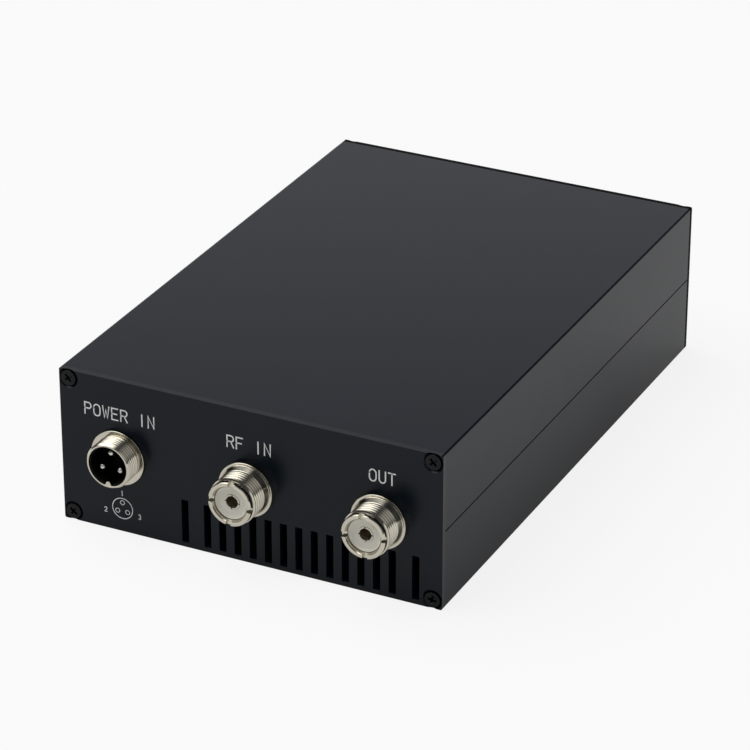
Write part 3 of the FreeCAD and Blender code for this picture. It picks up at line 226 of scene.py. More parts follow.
# The most that the Y of a normal is on the rim and its bevel, and on the wall of a bore.
BEVEL_SLOPE = 0.9
BORE_SLOPE = 0.5
BORE_MARGIN = 0.02
# Where the painted shade on a pin's shank starts behind its tip, as a share of its radius.
SHANK_SHADE_START = 0.9

front_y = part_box("front_panel")[0].y / MM
front_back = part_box("front_panel")[1].y / MM
rear_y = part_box("rear_panel")[1].y / MM
rear_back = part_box("rear_panel")[0].y / MM


def middle_of(node):
    """The X and Z of a node's middle, in millimetres."""
    low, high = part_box(node)
    return ((low.x + high.x) / 2 / MM, (low.z + high.z) / 2 / MM)


# ---------------------------------------------------------------- meshes
def finished(name, bm, body, slot, replaced=(), finish=None):
    """Turn a bmesh in millimetres into a piece that rides on a body."""
    bmesh.ops.recalc_face_normals(bm, faces=bm.faces)
    mesh = bpy.data.meshes.new(name)
    bm.to_mesh(mesh)
    bm.free()
    mesh.transform(Matrix.Scale(MM, 4))
    piece = bpy.data.objects.new(name, mesh)
    bpy.context.scene.collection.objects.link(piece)
    smooth(piece)
    piece.data.materials.append(MATERIALS[finish or slot])
    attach(piece, body)
    if replaced:
        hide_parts(*replaced)
    return piece


def second_finish(piece, finish, chosen):
    """Give the faces that chosen(centre in millimetres, normal) picks another finish."""
    piece.data.materials.append(MATERIALS[finish])
    for face in piece.data.polygons:
        if chosen(face.center / MM, face.normal):
            face.material_index = 1


def flat_flats(piece, chosen=None):
    """Keep wide faces flat beside their small round edges, away from a thread."""
    change = piece.modifiers.new("flat_flats", "WEIGHTED_NORMAL")
    change.keep_sharp = True
    change.weight = FLAT_WEIGHT
    if chosen:
        group = piece.vertex_groups.new(name="flats")
        group.add([vert.index for vert in piece.data.vertices if chosen(vert.co / MM)], 1.0, "REPLACE")
        change.vertex_group = group.name
    return piece


def smooth(piece):
    """Smooth shading with the sharp edges kept."""
    mesh = piece.data
    mesh.polygons.foreach_set("use_smooth", [True] * len(mesh.polygons))
    mesh.set_sharp_from_angle(angle=SMOOTH_ANGLE)


def carve(bm, cutters):
    """The bmesh with each cutter bmesh taken out of it."""
    base = loose_object("base", bm)
    for cutter in cutters:
        tool = loose_object("cutter", cutter)
        change = base.modifiers.new("cut", "BOOLEAN")
        change.operation = "DIFFERENCE"
        change.solver = "EXACT"
        change.object = tool
        depsgraph = bpy.context.evaluated_depsgraph_get()
        carved = bpy.data.meshes.new_from_object(base.evaluated_get(depsgraph))
        base.modifiers.remove(change)
        base.data = carved
        bpy.data.objects.remove(tool)
    result = bmesh.new()
    result.from_mesh(base.data)
    bpy.data.objects.remove(base)
    bmesh.ops.remove_doubles(result, verts=result.verts, dist=WELD_DISTANCE)
    return result


def loose_object(name, bm):
    """A plain object for a boolean."""
    bmesh.ops.recalc_face_normals(bm, faces=bm.faces)
    mesh = bpy.data.meshes.new(name)
    bm.to_mesh(mesh)
    bm.free()
    thing = bpy.data.objects.new(name, mesh)
    bpy.context.scene.collection.objects.link(thing)
    return thing


def revolved(rows, segments=RING_SEGMENTS, wave=None):
    """Rings of points about -Y.  A row is (along, radius); a radius of 0 is a pole.

    The first and last rows are joined too unless they are poles.  wave(along, turn, radius)
    gives a change of the radius.
    """
    bm = bmesh.new()
    rings = []
    for along, radius in rows:
        if radius == 0:
            rings.append([bm.verts.new((0, -along, 0))] * segments)
            continue
        ring = []
        for i in range(segments):
            turn = TURN * i / segments
            reach = radius + (wave(along, turn, radius) if wave else 0)
            ring.append(bm.verts.new((reach * math.cos(turn), -along, reach * math.sin(turn))))
        rings.append(ring)
    pairs = list(zip(rings, rings[1:]))
    if rows[0][1] and rows[-1][1]:
        pairs.append((rings[-1], rings[0]))
    for ring, following in pairs:
        for i in range(segments):
            j = (i + 1) % segments
            corners = []
            for vert in (ring[i], ring[j], following[j], following[i]):
                if vert not in corners:
                    corners.append(vert)
            bm.faces.new(corners)
    return bm


def eased(points, radius=0, steps=3, closed=True):
    """The same outline with its corners rounded; a point may carry its own radius."""
    count = len(points)
    outline = []
    for i, point in enumerate(points):
        here = Vector(point[:2])
        r = point[2] if len(point) > 2 else radius
        if not r or (not closed and i in (0, count - 1)):
            outline.append(tuple(here))
            continue
        back = Vector(points[i - 1][:2]) - here
        on = Vector(points[(i + 1) % count][:2]) - here
        half = back.angle(on) / 2
        reach = min(r / math.tan(half), EASE_SHARE * back.length, EASE_SHARE * on.length)
        first = here + back.normalized() * reach
        last = here + on.normalized() * reach
        for k in range(steps + 1):
            share = k / steps
            spot = (1 - share) ** 2 * first + 2 * share * (1 - share) * here + share ** 2 * last
            outline.append(tuple(spot))
    return outline


def block(x, y, z):
    """A box from three (low, high) pairs, for cutting."""
    bm = bmesh.new()
    bmesh.ops.create_cube(bm, size=1)
    middle = Vector([(span[0] + span[1]) / 2 for span in (x, y, z)])
    size = [span[1] - span[0] for span in (x, y, z)]
    bmesh.ops.transform(bm, verts=bm.verts, matrix=Matrix.Translation(middle) @ Matrix.Diagonal((*size, 1)))
    return bm


def loft(levels):
    """A closed shape through outlines of (x, z) points, each at its own y."""
    bm = bmesh.new()
    rings = [[bm.verts.new((px, y, pz)) for px, pz in outline] for y, outline in levels]
    for ring, following in zip(rings, rings[1:]):
        for i in range(len(ring)):
            j = (i + 1) % len(ring)
            bm.faces.new((ring[i], ring[j], following[j], following[i]))
    bm.faces.new(rings[0])
    bm.faces.new(rings[-1])
    return bm


def prism(outline, y):
    """A straight prism from an outline of (x, z) points between two values of y."""
    return loft([(level, outline) for level in y])


def moved(bm, matrix):
    """The same bmesh after a change of place."""
    bmesh.ops.transform(bm, verts=bm.verts, matrix=matrix)
    return bm


def merged(parts):
    """Several bmeshes as one."""
    whole = bmesh.new()
    for part in parts:
        mesh = bpy.data.meshes.new("part")
        part.to_mesh(mesh)
        part.free()
        whole.from_mesh(mesh)
        bpy.data.meshes.remove(mesh)
    return whole


def on_front(x, z, turn_deg=0.0):
    """Takes a shape made about -Y at the origin to the front panel's face."""
    return Matrix.Translation((x, front_y, z)) @ Matrix.Rotation(math.radians(turn_deg), 4, "Y")


def on_rear(x, z, turn_deg=0.0):
    """The same for the rear panel, pointing out of it."""
    return (Matrix.Translation((x, rear_y, z)) @ Matrix.Rotation(math.pi, 4, "Z")
            @ Matrix.Rotation(math.radians(turn_deg), 4, "Y"))


def under_floor(x, y, turn_deg=0.0):
    """The same for the underside, pointing down."""
    return (Matrix.Translation((x, y, 0)) @ Matrix.Rotation(math.pi / 2, 4, "X")
            @ Matrix.Rotation(math.radians(turn_deg), 4, "Y"))


# ---------------------------------------------------------------- materials
class Surface:
    """A Principled material with the nodes for its grain, in the frame's metres."""

    def __init__(self, name, colour, roughness, metallic=0.0, specular=0.5):
        self.material = bpy.data.materials.new(name)
        self.material.use_nodes = True
        self.tree = self.material.node_tree
        self.shader = self.tree.nodes["Principled BSDF"]
        self.colour = colour
        self.roughness = roughness
        self.shader.inputs["Base Color"].default_value = (*colour, 1)
        self.shader.inputs["Roughness"].default_value = roughness
        self.shader.inputs["Metallic"].default_value = metallic
        self.shader.inputs["Specular IOR Level"].default_value = specular
        self.place = self.tree.nodes.new("ShaderNodeTexCoord").outputs["Object"]

    def noise(self, per_metre, detail, stretch=(1, 1, 1)):
        """A noise from 0 to 1 with that many features to the metre."""
        mapping = self.tree.nodes.new("ShaderNodeMapping")
        mapping.inputs["Scale"].default_value = [per_metre * s for s in stretch]
        texture = self.tree.nodes.new("ShaderNodeTexNoise")
        texture.inputs["Scale"].default_value = 1.0
        texture.inputs["Detail"].default_value = detail
        self.tree.links.new(self.place, mapping.inputs["Vector"])
        self.tree.links.new(mapping.outputs["Vector"], texture.inputs["Vector"])
        return texture.outputs["Fac"]

    def ranged(self, value, low, high):
        """The value taken from the range where a noise lies to low..high."""
        node = self.tree.nodes.new("ShaderNodeMapRange")
        node.inputs["From Min"].default_value, node.inputs["From Max"].default_value = NOISE_RANGE
        node.inputs["To Min"].default_value = low
        node.inputs["To Max"].default_value = high
        self.tree.links.new(value, node.inputs["Value"])
        return node.outputs["Result"]

    def tint(self, value, spread):
        """Let the colour drift by a share either way."""
        mix = self.tree.nodes.new("ShaderNodeMix")
        mix.data_type = "RGBA"
        mix.inputs["A"].default_value = (*[c * (1 - spread) for c in self.colour], 1)
        mix.inputs["B"].default_value = (*[c * (1 + spread) for c in self.colour], 1)
        self.tree.links.new(self.ranged(value, 0, 1), mix.inputs["Factor"])
        self.tree.links.new(mix.outputs["Result"], self.shader.inputs["Base Color"])
        return self

    def blur(self, value, spread):
        """Let the roughness drift either way."""
        result = self.ranged(value, self.roughness - spread, self.roughness + spread)
        self.tree.links.new(result, self.shader.inputs["Roughness"])
        return self

    def grain(self, value, height_mm, strength):
        """Raise the surface by the value."""
        bump = self.tree.nodes.new("ShaderNodeBump")
        bump.inputs["Distance"].default_value = height_mm * MM
        bump.inputs["Strength"].default_value = strength
        self.tree.links.new(value, bump.inputs["Height"])
        self.tree.links.new(bump.outputs["Normal"], self.shader.inputs["Normal"])
        return self


def anodised(name, colour, roughness, specular):
    """Fine matt anodised aluminium: dark dye under a thin clear oxide, with a bead-blast grain."""
    s = Surface(name, colour, roughness, specular=specular)
    s.tint(s.noise(35, detail=3), spread=0.05)
    s.blur(s.noise(90, detail=5), spread=0.01)
    s.grain(s.noise(9000, detail=2), height_mm=0.004, strength=0.5)
    return s.material


def blackened(name, colour, roughness, specular):
    """Oiled black oxide on a screw, a little uneven."""
    s = Surface(name, colour, roughness, specular=specular)
    s.tint(s.noise(700, detail=4), spread=0.4)
    s.blur(s.noise(900, detail=4), spread=0.08)
    s.grain(s.noise(1200, detail=3), height_mm=0.02, strength=0.5)
    return s.material


def bright_metal(name, colour, roughness):
    """Plated or plain metal with a little uneven polish."""
    s = Surface(name, colour, roughness, metallic=1.0)
    s.tint(s.noise(260, detail=4), spread=0.06)
    s.blur(s.noise(900, detail=5), spread=0.02)
    s.grain(s.noise(2600, detail=3), height_mm=0.002, strength=0.2)
    return s.material


def drawn_metal(name, colour, roughness, along):
    """Metal with fine lines along one axis, from extruding or grinding."""
    stretch = [0.02 if axis == along else 1 for axis in "XYZ"]
    s = Surface(name, colour, roughness, metallic=1.0)
    s.tint(s.noise(300, detail=4, stretch=stretch), spread=0.10)
    s.blur(s.noise(1500, detail=4, stretch=stretch), spread=0.05)
    s.grain(s.noise(5000, detail=3, stretch=stretch), height_mm=0.006, strength=0.6)
    return s.material


def plastic(name, colour, roughness, grain_mm=0.004):
    """Moulded plastic with a slight spark texture."""
    s = Surface(name, colour, roughness)
    s.tint(s.noise(120, detail=3), spread=0.06)
    s.blur(s.noise(700, detail=4), spread=0.04)
    s.grain(s.noise(4500, detail=3), height_mm=grain_mm, strength=0.6)
    return s.material


def matt_plastic(name, colour, roughness, specular):
    """Moulded plastic with hardly any shine."""
    s = Surface(name, colour, roughness, specular=specular)
    s.tint(s.noise(160, detail=3), spread=0.2)
    s.blur(s.noise(700, detail=4), spread=0.05)
    s.grain(s.noise(4500, detail=3), height_mm=0.004, strength=0.5)
    return s.material


def speckled(name, colour, roughness, spread, per_metre):
    """A ceramic, ferrite or cement body with mottled colour and a rough skin."""
    s = Surface(name, colour, roughness)
    s.tint(s.noise(per_metre, detail=6), spread=spread)
    s.blur(s.noise(per_metre * 2, detail=4), spread=0.06)
    s.grain(s.noise(per_metre * 4, detail=5), height_mm=0.02, strength=0.7)
    return s.material


def laminate(name, colour, roughness):
    """A circuit board's solder mask over its glass weave and copper pour."""
    s = Surface(name, colour, roughness)
    s.tint(s.noise(160, detail=8), spread=0.30)
    s.blur(s.noise(500, detail=4), spread=0.06)
    s.grain(s.noise(2200, detail=2, stretch=(1, 0.25, 1)), height_mm=0.008, strength=0.6)
    return s.material


def wound(name, colour, roughness, along):
    """Enamelled wire, laid in fine turns."""
    stretch = [1 if axis == along else 0.02 for axis in "XYZ"]
    s = Surface(name, colour, roughness, metallic=0.7)
    s.tint(s.noise(2500, detail=2, stretch=stretch), spread=0.30)
    s.blur(s.noise(900, detail=3), spread=0.05)
    s.grain(s.noise(2500, detail=2, stretch=stretch), height_mm=0.08, strength=0.8)
    return s.material


MATERIALS = {
    "shell_anodised": anodised("shell_anodised", (0.0026, 0.0056, 0.0135), 0.22, 0.125),
    "panel_anodised": anodised("panel_anodised", (0.0030, 0.0068, 0.0118), 0.25, 0.19),
    "plate_rim": anodised("plate_rim", (0.0012, 0.0014, 0.0020), 0.5, 0.02),
    "black_screws": blackened("black_screws", (0.0018, 0.0020, 0.0024), 0.26, 0.20),
    "plain_screws": bright_metal("plain_screws", (0.55, 0.55, 0.53), 0.3),
    "nickel_plate": bright_metal("nickel_plate", (0.58, 0.545, 0.455), 0.14),
    "pin_plate": bright_metal("pin_plate", (0.72, 0.70, 0.65), 0.3),
    # Painted shade: a dark copy of the pins' plating, for the shade on the shanks deep inside the inlet.
    "pin_shank_painted_shade": bright_metal("pin_shank_painted_shade", (0.10, 0.09, 0.075), 0.12),
    "socket_insulator": plastic("socket_insulator", (0.82, 0.79, 0.69), 0.5, 0.002),
    "socket_contact": bright_metal("socket_contact", (0.62, 0.59, 0.52), 0.5),
    # Painted shade: a darker, browner copy of the contact's metal, for the shade deep inside the bore.
    "contact_bore_painted_shade": bright_metal("contact_bore_painted_shade", (0.52, 0.45, 0.33), 0.5),
    "inlet_insert": matt_plastic("inlet_insert", (0.0022, 0.0018, 0.0014), 0.6, 0.12),
    "ink": plastic("ink", (0.93, 0.93, 0.93), 0.6),
    "sink_aluminium": drawn_metal("sink_aluminium", (0.42, 0.43, 0.44), 0.38, "Y"),
    "board_laminate": laminate("board_laminate", (0.015, 0.10, 0.04), 0.35),
    "spacer_brass": bright_metal("spacer_brass", (0.62, 0.44, 0.17), 0.25),
    "transistor_package": plastic("transistor_package", (0.02, 0.02, 0.02), 0.45),
    "pad_silicone": plastic("pad_silicone", (0.40, 0.42, 0.45), 0.7),
    "ferrite": speckled("ferrite", (0.035, 0.035, 0.04), 0.55, 0.35, 400),
    "powder_core": speckled("powder_core", (0.50, 0.42, 0.05), 0.45, 0.15, 300),
    "copper_wire": wound("copper_wire", (0.55, 0.20, 0.07), 0.3, "Z"),
    "winding_sleeve": plastic("winding_sleeve", (0.70, 0.69, 0.65), 0.5, 0.012),
    "tube_brass": drawn_metal("tube_brass", (0.66, 0.48, 0.20), 0.25, "Y"),
    "plate_copper": bright_metal("plate_copper", (0.62, 0.32, 0.18), 0.35),
    "capacitor_can": plastic("capacitor_can", (0.012, 0.016, 0.035), 0.25),
    "trimmer_body": plastic("trimmer_body", (0.015, 0.07, 0.30), 0.35),
    "trimmer_rotor": plastic("trimmer_rotor", (0.60, 0.60, 0.56), 0.45),
    "resistor_cement": speckled("resistor_cement", (0.58, 0.57, 0.53), 0.8, 0.10, 600),
    "chip_ceramic": speckled("chip_ceramic", (0.30, 0.19, 0.10), 0.5, 0.12, 700),
    "relay_base": plastic("relay_base", (0.02, 0.02, 0.02), 0.4),
    "relay_coil": wound("relay_coil", (0.50, 0.18, 0.06), 0.35, "Z"),
    "relay_iron": bright_metal("relay_iron", (0.55, 0.54, 0.50), 0.3),
    "relay_cover": plastic("relay_cover", (0.02, 0.07, 0.22), 0.3),
    "fan_plastic": plastic("fan_plastic", (0.012, 0.012, 0.013), 0.42),
    "fan_magnet": speckled("fan_magnet", (0.05, 0.045, 0.045), 0.6, 0.2, 500),
    "fan_steel": drawn_metal("fan_steel", (0.50, 0.50, 0.49), 0.3, "Y"),
    "connector_plastic": plastic("connector_plastic", (0.66, 0.64, 0.56), 0.45),
    "lead_insulation": plastic("lead_insulation", (0.16, 0.012, 0.010), 0.45),
}


def dress_frame():
    """Give each node of the frame the material of its slot."""
    for part in frame["record"]["subparts"]:
        node = frame["nodes"][part["node"]]
        node.data.materials.clear()
        node.data.materials.append(MATERIALS[part["material_slot"]])


# ---------------------------------------------------------------- screws
def cross_cutter():
    """The tapered cross of a Phillips recess, along -Y and open at the top."""
    levels = []
    for along, long_share, wide_share in ((CROSS_ABOVE, CROSS_MOUTH, 1.0),
                                          (-CROSS_DEPTH, CROSS_FOOT, CROSS_FOOT_SLIM)):
        x = CROSS_HALF_LENGTH * long_share
        z = CROSS_HALF_WIDTH * wide_share
        levels.append((-along, [(-x, -z), (x, -z), (x, z), (-x, z)]))
    return [moved(loft(levels), Matrix.Rotation(math.radians(turn_deg), 4, "Y")) for turn_deg in (0, 90)]


def countersunk_screw():
    """A countersunk screw along -Y with its head level with the origin."""
    section = [(0, 0), (0, HEAD_RADIUS, ROUND_EDGE), (-HEAD_HEIGHT, SHANK_RADIUS, ROUND_TAIL),
               (-SCREW_LENGTH + SHANK_CHAMFER, SHANK_RADIUS, ROUND_FINE),
               (-SCREW_LENGTH, SHANK_RADIUS - SHANK_CHAMFER, ROUND_FINE), (-SCREW_LENGTH, 0)]
    return carve(revolved(eased(section, closed=False), HOLE_SEGMENTS), cross_cutter())


def corner_places():
    """The four corners where an end panel is screwed on."""
    x = HALF_WIDTH - SCREW_INSET_X
    z = HALF_HEIGHT - SCREW_INSET_Z
    return [(sx * x, HALF_HEIGHT + sz * z) for sz in (-1, 1) for sx in (-1, 1)]


def fan_screw_places():
    """The fan's four screws."""
    half = FAN_HOLE_PITCH / 2
    return [(VENT_CENTRE + sx * half, HALF_HEIGHT + sz * half) for sx in (-1, 1) for sz in (-1, 1)]


def floor_screw_places():
    """The X and Y of the heat sink's screws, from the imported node's own ends."""
    low, high = (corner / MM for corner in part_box("heat_sink_screws"))
    xs = (low.x + HEAD_RADIUS, high.x - HEAD_RADIUS)
    ys = (low.y + HEAD_RADIUS, high.y - HEAD_RADIUS)
    return [(x, y) for x in xs for y in ys]


def driven(places, onto, turns_deg):
    """Countersunk screws at places, each with its cross turned its own way."""
    return [moved(countersunk_screw(), onto(*place, turn)) for place, turn in zip(places, turns_deg)]


def screws():
    """The screws of the end panels, the fan and the heat sink."""
    groups = (("panel_screws", driven(corner_places(), on_front, turns_deg=(38, 12, 52, 47))
               + driven(corner_places(), on_rear, turns_deg=(20, 65, 5, 33))),
              ("fan_screws", driven(fan_screw_places(), on_rear, turns_deg=(15, 70, 40, 58))),
              ("heat_sink_screws", driven(floor_screw_places(), under_floor, turns_deg=(10, 44, 80, 28))))
    for node, heads in groups:
        flat_flats(finished(node + "_dressed", merged(heads), "chassis", "black_screws", [node]))


# ---------------------------------------------------------------- end panels
def rounded_corners(half_x, half_z, radius):
    """A rectangle's outline about the panel's middle with round corners."""
    outline = []
    for quarter, (sx, sz) in enumerate(((1, 1), (-1, 1), (-1, -1), (1, -1))):
        for k in range(CORNER_STEPS + 1):
            turn = math.pi / 2 * (quarter + k / CORNER_STEPS)
            outline.append((sx * (half_x - radius) + radius * math.cos(turn),
                            HALF_HEIGHT + sz * (half_z - radius) + radius * math.sin(turn)))
    return outline


def plate(outer, inner):
    """An end plate with a small bevel round its outer face."""
    step = math.copysign(PANEL_EDGE, inner - outer)
    return loft([(y, rounded_corners(HALF_WIDTH - inset, HALF_HEIGHT - inset, CORNER_RADIUS - inset))
                 for y, inset in ((inner, 0), (outer + step, 0), (outer, PANEL_EDGE))])


def round_cutter(radius):
    """A round cutter through a panel, with a small break of its front edge."""
    end = -PANEL_THICKNESS - CUT_PAST
    rows = [(CUT_PAST, 0), (CUT_PAST, radius + CUT_EDGE + CUT_PAST), (0, radius + CUT_EDGE),
            (-CUT_EDGE, radius), (end, radius), (end, 0)]
    return revolved(rows, HOLE_SEGMENTS)


def sink_cutter():
    """The cutter of a countersunk hole."""
    end = -PANEL_THICKNESS - CUT_PAST
    cone = -(SINK_RADIUS - HOLE_RADIUS)
    rows = [(CUT_PAST, 0), (CUT_PAST, SINK_RADIUS + CUT_EDGE), (0, SINK_RADIUS + CUT_EDGE),
            (-CUT_EDGE, SINK_RADIUS), (cone, HOLE_RADIUS), (end, HOLE_RADIUS), (end, 0)]
    return revolved(rows, HOLE_SEGMENTS)


def slot_outline(x, bottom, top, width, radius):
    """An upright slot's outline with slightly round corners."""
    left, right = x - width / 2, x + width / 2
    return eased([(left, bottom), (right, bottom), (right, top), (left, top)], radius)


def vent_offsets():
    """Distances of the air slots from the middle of their row."""
    last = (VENT_COUNT - 1) / 2
    inner = [(i - last) * VENT_PITCH for i in range(VENT_COUNT)]
    return [inner[0] - VENT_END_STEP] + inner + [inner[-1] + VENT_END_STEP]


def broken(piece):
    """Break the sharp edges of a panel, and keep its flats flat."""
    bevel = piece.modifiers.new("broken_edges", "BEVEL")
    bevel.width = CUT_EDGE * MM
    bevel.segments = BEVEL_SEGMENTS
    bevel.limit_method = "ANGLE"
    bevel.angle_limit = BEVEL_ANGLE
    return flat_flats(piece)


def front_panel():
    """The front plate with round socket holes, countersinks and the row of air slots."""
    through = (front_y - CUT_PAST, front_back + CUT_PAST)
    cutters = []
    for node, radius in (("dc_inlet_body", DC_THREAD), ("input_socket_body", UHF_THREAD),
                         ("antenna_socket_body", UHF_THREAD)):
        cutters.append(moved(round_cutter(radius + HOLE_CLEARANCE), on_front(*middle_of(node))))
    cutters += [moved(sink_cutter(), on_front(x, z)) for x, z in corner_places()]
    for offset in vent_offsets():
        outline = slot_outline(VENT_CENTRE + offset, VENT_BOTTOM, VENT_BOTTOM + VENT_HEIGHT, VENT_WIDTH,
                               VENT_ROUND)
        cutters.append(prism(outline, through))
    panel = carve(plate(front_y, front_back), [merged(cutters)])
    return finished("front_panel_dressed", panel, "chassis", "panel_anodised", ["front_panel"])


def rear_panel():
    """The rear plate with the fan's grille; its rim is duller than its face."""
    through = (rear_back - CUT_PAST, rear_y + CUT_PAST)
    cutters = [moved(sink_cutter(), on_rear(x, z)) for x, z in corner_places() + fan_screw_places()]
    for i in range(GRILLE_COUNT):
        offset = (i - (GRILLE_COUNT - 1) / 2) * GRILLE_PITCH
        reach = math.sqrt(GRILLE_RADIUS ** 2 - (abs(offset) + GRILLE_SLOT / 2) ** 2)
        outline = slot_outline(VENT_CENTRE + offset, HALF_HEIGHT - reach, HALF_HEIGHT + reach, GRILLE_SLOT,
                               GRILLE_ROUND)
        cutters.append(prism(outline, through))
    panel = carve(plate(rear_y, rear_back), [merged(cutters)])
    piece = finished("rear_panel_dressed", panel, "chassis", "panel_anodised", ["rear_panel"])
    second_finish(piece, "plate_rim", lambda centre, normal: abs(normal.y) < BEVEL_SLOPE and (
        abs(centre.x) > HALF_WIDTH - RIM_DEPTH or abs(centre.z - HALF_HEIGHT) > HALF_HEIGHT - RIM_DEPTH))
    return piece


# ---------------------------------------------------------------- threads and sockets
def thread_wave(crest, pitch, depth, start, end):
    """A right-hand thread cut into a cylinder, run out at both ends."""
    def wave(along, turn, radius):
        if radius != crest or not start <= along <= end:
            return 0.0
        fade = min(1.0, (along - start) / (THREAD_FADE * pitch), (end - along) / (THREAD_FADE * pitch))
        return -depth * (0.5 - 0.5 * math.cos(TURN * along / pitch - turn)) * fade
    return wave


def thread_rows(crest, pitch, start, end):
    """Close rows along a thread."""
    count = round((end - start) / pitch * ROWS_PER_PITCH)
    return [(start + (end - start) * i / count, crest) for i in range(count + 1)]


def uhf_body(name, turn_deg):
    """The plated socket body: notched ring, relief groove, thread, cone and flange."""
    x, z = middle_of(name)
    tip = UHF_REACH
    ring_foot = tip - UHF_RING_LENGTH
    groove_foot = ring_foot - UHF_GROOVE_WIDTH
    thread_end = groove_foot - UHF_THREAD_LEAD
    thread_start = UHF_FLANGE_THICKNESS + UHF_CONE_LENGTH
    rear = tip - UHF_BODY
    barrel = UHF_THREAD - BARREL_INSET
    front_part = [(tip - UHF_MOUTH_DEPTH, UHF_BORE, ROUND_FINE), (tip, UHF_MOUTH, ROUND_EDGE),
                  (tip, UHF_RING, UHF_RING_ROUND), (ring_foot, UHF_RING, ROUND_EDGE),
                  (ring_foot, UHF_GROOVE, ROUND_CREASE), (groove_foot, UHF_GROOVE, ROUND_CREASE)]
    flange_part = [(UHF_FLANGE_THICKNESS, UHF_CONE, ROUND_EDGE),
                   (UHF_FLANGE_THICKNESS, UHF_FLANGE, ROUND_FLANGE), (0, UHF_FLANGE, ROUND_FOOT),
                   (0, barrel), (rear, barrel, ROUND_BARREL), (rear, UHF_BORE, ROUND_TAIL)]
    rows = eased(front_part + [(thread_end, UHF_THREAD)])[:-1]
    rows += reversed(thread_rows(UHF_THREAD, UHF_PITCH, thread_start, thread_end))
    rows += eased([(thread_start, UHF_THREAD)] + flange_part)[1:]
    wave = thread_wave(UHF_THREAD, UHF_PITCH, UHF_DEPTH, thread_start, thread_end)
    notches = []
    for quarter in (0, 90, 180, 270):
        notch = block((-UHF_NOTCH_WIDTH / 2, UHF_NOTCH_WIDTH / 2), (-tip - CUT_PAST, -tip + UHF_NOTCH_DEPTH),
                      (UHF_BORE - CUT_AROUND, UHF_RING + CUT_AROUND))
        notches.append(moved(notch, Matrix.Rotation(math.radians(quarter + turn_deg), 4, "Y")))
    body = carve(revolved(rows, THREAD_SEGMENTS, wave), [merged(notches)])
    piece = finished(name + "_dressed", moved(body, on_front(x, z)), "chassis", "nickel_plate", [name])
    return flat_flats(piece, lambda place: not thread_start < front_y - place.y < thread_end)


def uhf_insulator(name):
    """The dished insulator."""
    x, z = middle_of(name)
    rim = UHF_REACH - UHF_RIM_SET_BACK
    outer = UHF_BORE - FIT_CLEARANCE
    hole = CONTACT_RADIUS + FIT_CLEARANCE
    floor_y = rim - UHF_DISH_DEPTH
    rear = rim - UHF_INSULATOR_LENGTH
    rows = eased([(rear, hole), (rear, outer, ROUND_TAIL), (rim - UHF_DISH_CHAMFER, outer, ROUND_FINE),
                  (rim, outer - UHF_DISH_RIM, ROUND_FINE), (floor_y, UHF_DISH_FLOOR, UHF_DISH_ROUND),
                  (floor_y, hole)])
    return flat_flats(finished(name + "_dressed", moved(revolved(rows), on_front(x, z)), "chassis",
                               "socket_insulator", [name]))


def uhf_contact(name, turn_deg):
    """The slit spring contact."""
    x, z = middle_of(name)
    tip = UHF_REACH - CONTACT_SET_BACK
    bore_end = tip - CONTACT_BORE_DEPTH
    end = UHF_REACH - UHF_BODY - CONTACT_TAIL
    rows = [(bore_end - CONTACT_BORE_TIP, 0)]
    rows += eased([(bore_end, CONTACT_BORE), (tip, CONTACT_BORE, ROUND_FINE),
                   (tip, CONTACT_RADIUS, ROUND_HAIR), (end, CONTACT_RADIUS)], closed=False)
    rows += [(end, CONTACT_RADIUS - CONTACT_END_FLAT), (end, 0)]
    slits = []
    for quarter in (0, 90, 180, 270):
        slit = block((-CONTACT_SLIT / 2, CONTACT_SLIT / 2), (-tip - CUT_PAST, -tip + CONTACT_SLIT_LENGTH),
                     (CONTACT_SLIT_PAST, CONTACT_RADIUS + CONTACT_SLIT_PAST))
        slits.append(moved(slit, Matrix.Rotation(math.radians(quarter + turn_deg), 4, "Y")))
    contact = carve(revolved(rows, HOLE_SEGMENTS), [merged(slits)])
    piece = finished(name + "_dressed", moved(contact, on_front(x, z)), "chassis", "socket_contact", [name])
    # Painted shade: the wall of the bore gets the darker copy of the contact's metal.
    second_finish(piece, "contact_bore_painted_shade", lambda centre, normal: abs(normal.y) < BORE_SLOPE
                  and math.hypot(centre.x - x, centre.z - z) < CONTACT_BORE + BORE_MARGIN)
    return flat_flats(piece)


# ---------------------------------------------------------------- supply inlet
def dc_body():
    """The plated inlet shell with its fine thread and the key at its foot."""
    name = "dc_inlet_body"
    x, z = middle_of(name)
    thread_end = DC_REACH - DC_LIP
    thread_start = DC_FLANGE_THICKNESS + DC_THREAD_GAP
    barrel = DC_THREAD - BARREL_INSET
    front_part = [(-DC_TAIL, DC_BORE, ROUND_TAIL), (DC_REACH, DC_BORE - DC_MOUTH_LIP, ROUND_CREASE),
                  (DC_REACH, DC_THREAD - DC_LIP_CHAMFER, ROUND_FINE)]
    flange_part = [(DC_FLANGE_THICKNESS, DC_THREAD, ROUND_FINE), (DC_FLANGE_THICKNESS, DC_FLANGE, ROUND_RIM),
                   (0, DC_FLANGE, ROUND_EDGE), (0, barrel), (-DC_TAIL, barrel, ROUND_INNER)]
    rows = eased(front_part + [(thread_end, DC_THREAD)])[:-1]
    rows += reversed(thread_rows(DC_THREAD, DC_PITCH, thread_start, thread_end))
    rows += eased([(thread_start, DC_THREAD)] + flange_part)[1:]
    wave = thread_wave(DC_THREAD, DC_PITCH, DC_DEPTH, thread_start, thread_end)
    shell = revolved(rows, THREAD_SEGMENTS, wave)
    half = DC_KEY_WIDTH / 2
    foot = -DC_BORE - DC_KEY_ROOT
    top = DC_KEY_HEIGHT - DC_BORE
    outline = eased([(-half, foot), (half, foot), (DC_KEY_TIP, top, ROUND_INNER),
                     (-DC_KEY_TIP, top, ROUND_INNER)], steps=KEY_STEPS)
    key = prism(outline, (-DC_REACH + DC_KEY_SET_BACK, DC_FLOOR))
    whole = moved(merged([shell, key]), on_front(x, z))
    piece = finished(name + "_dressed", whole, "chassis", "nickel_plate", [name])
    return flat_flats(piece, lambda place: not thread_start < front_y - place.y < thread_end)


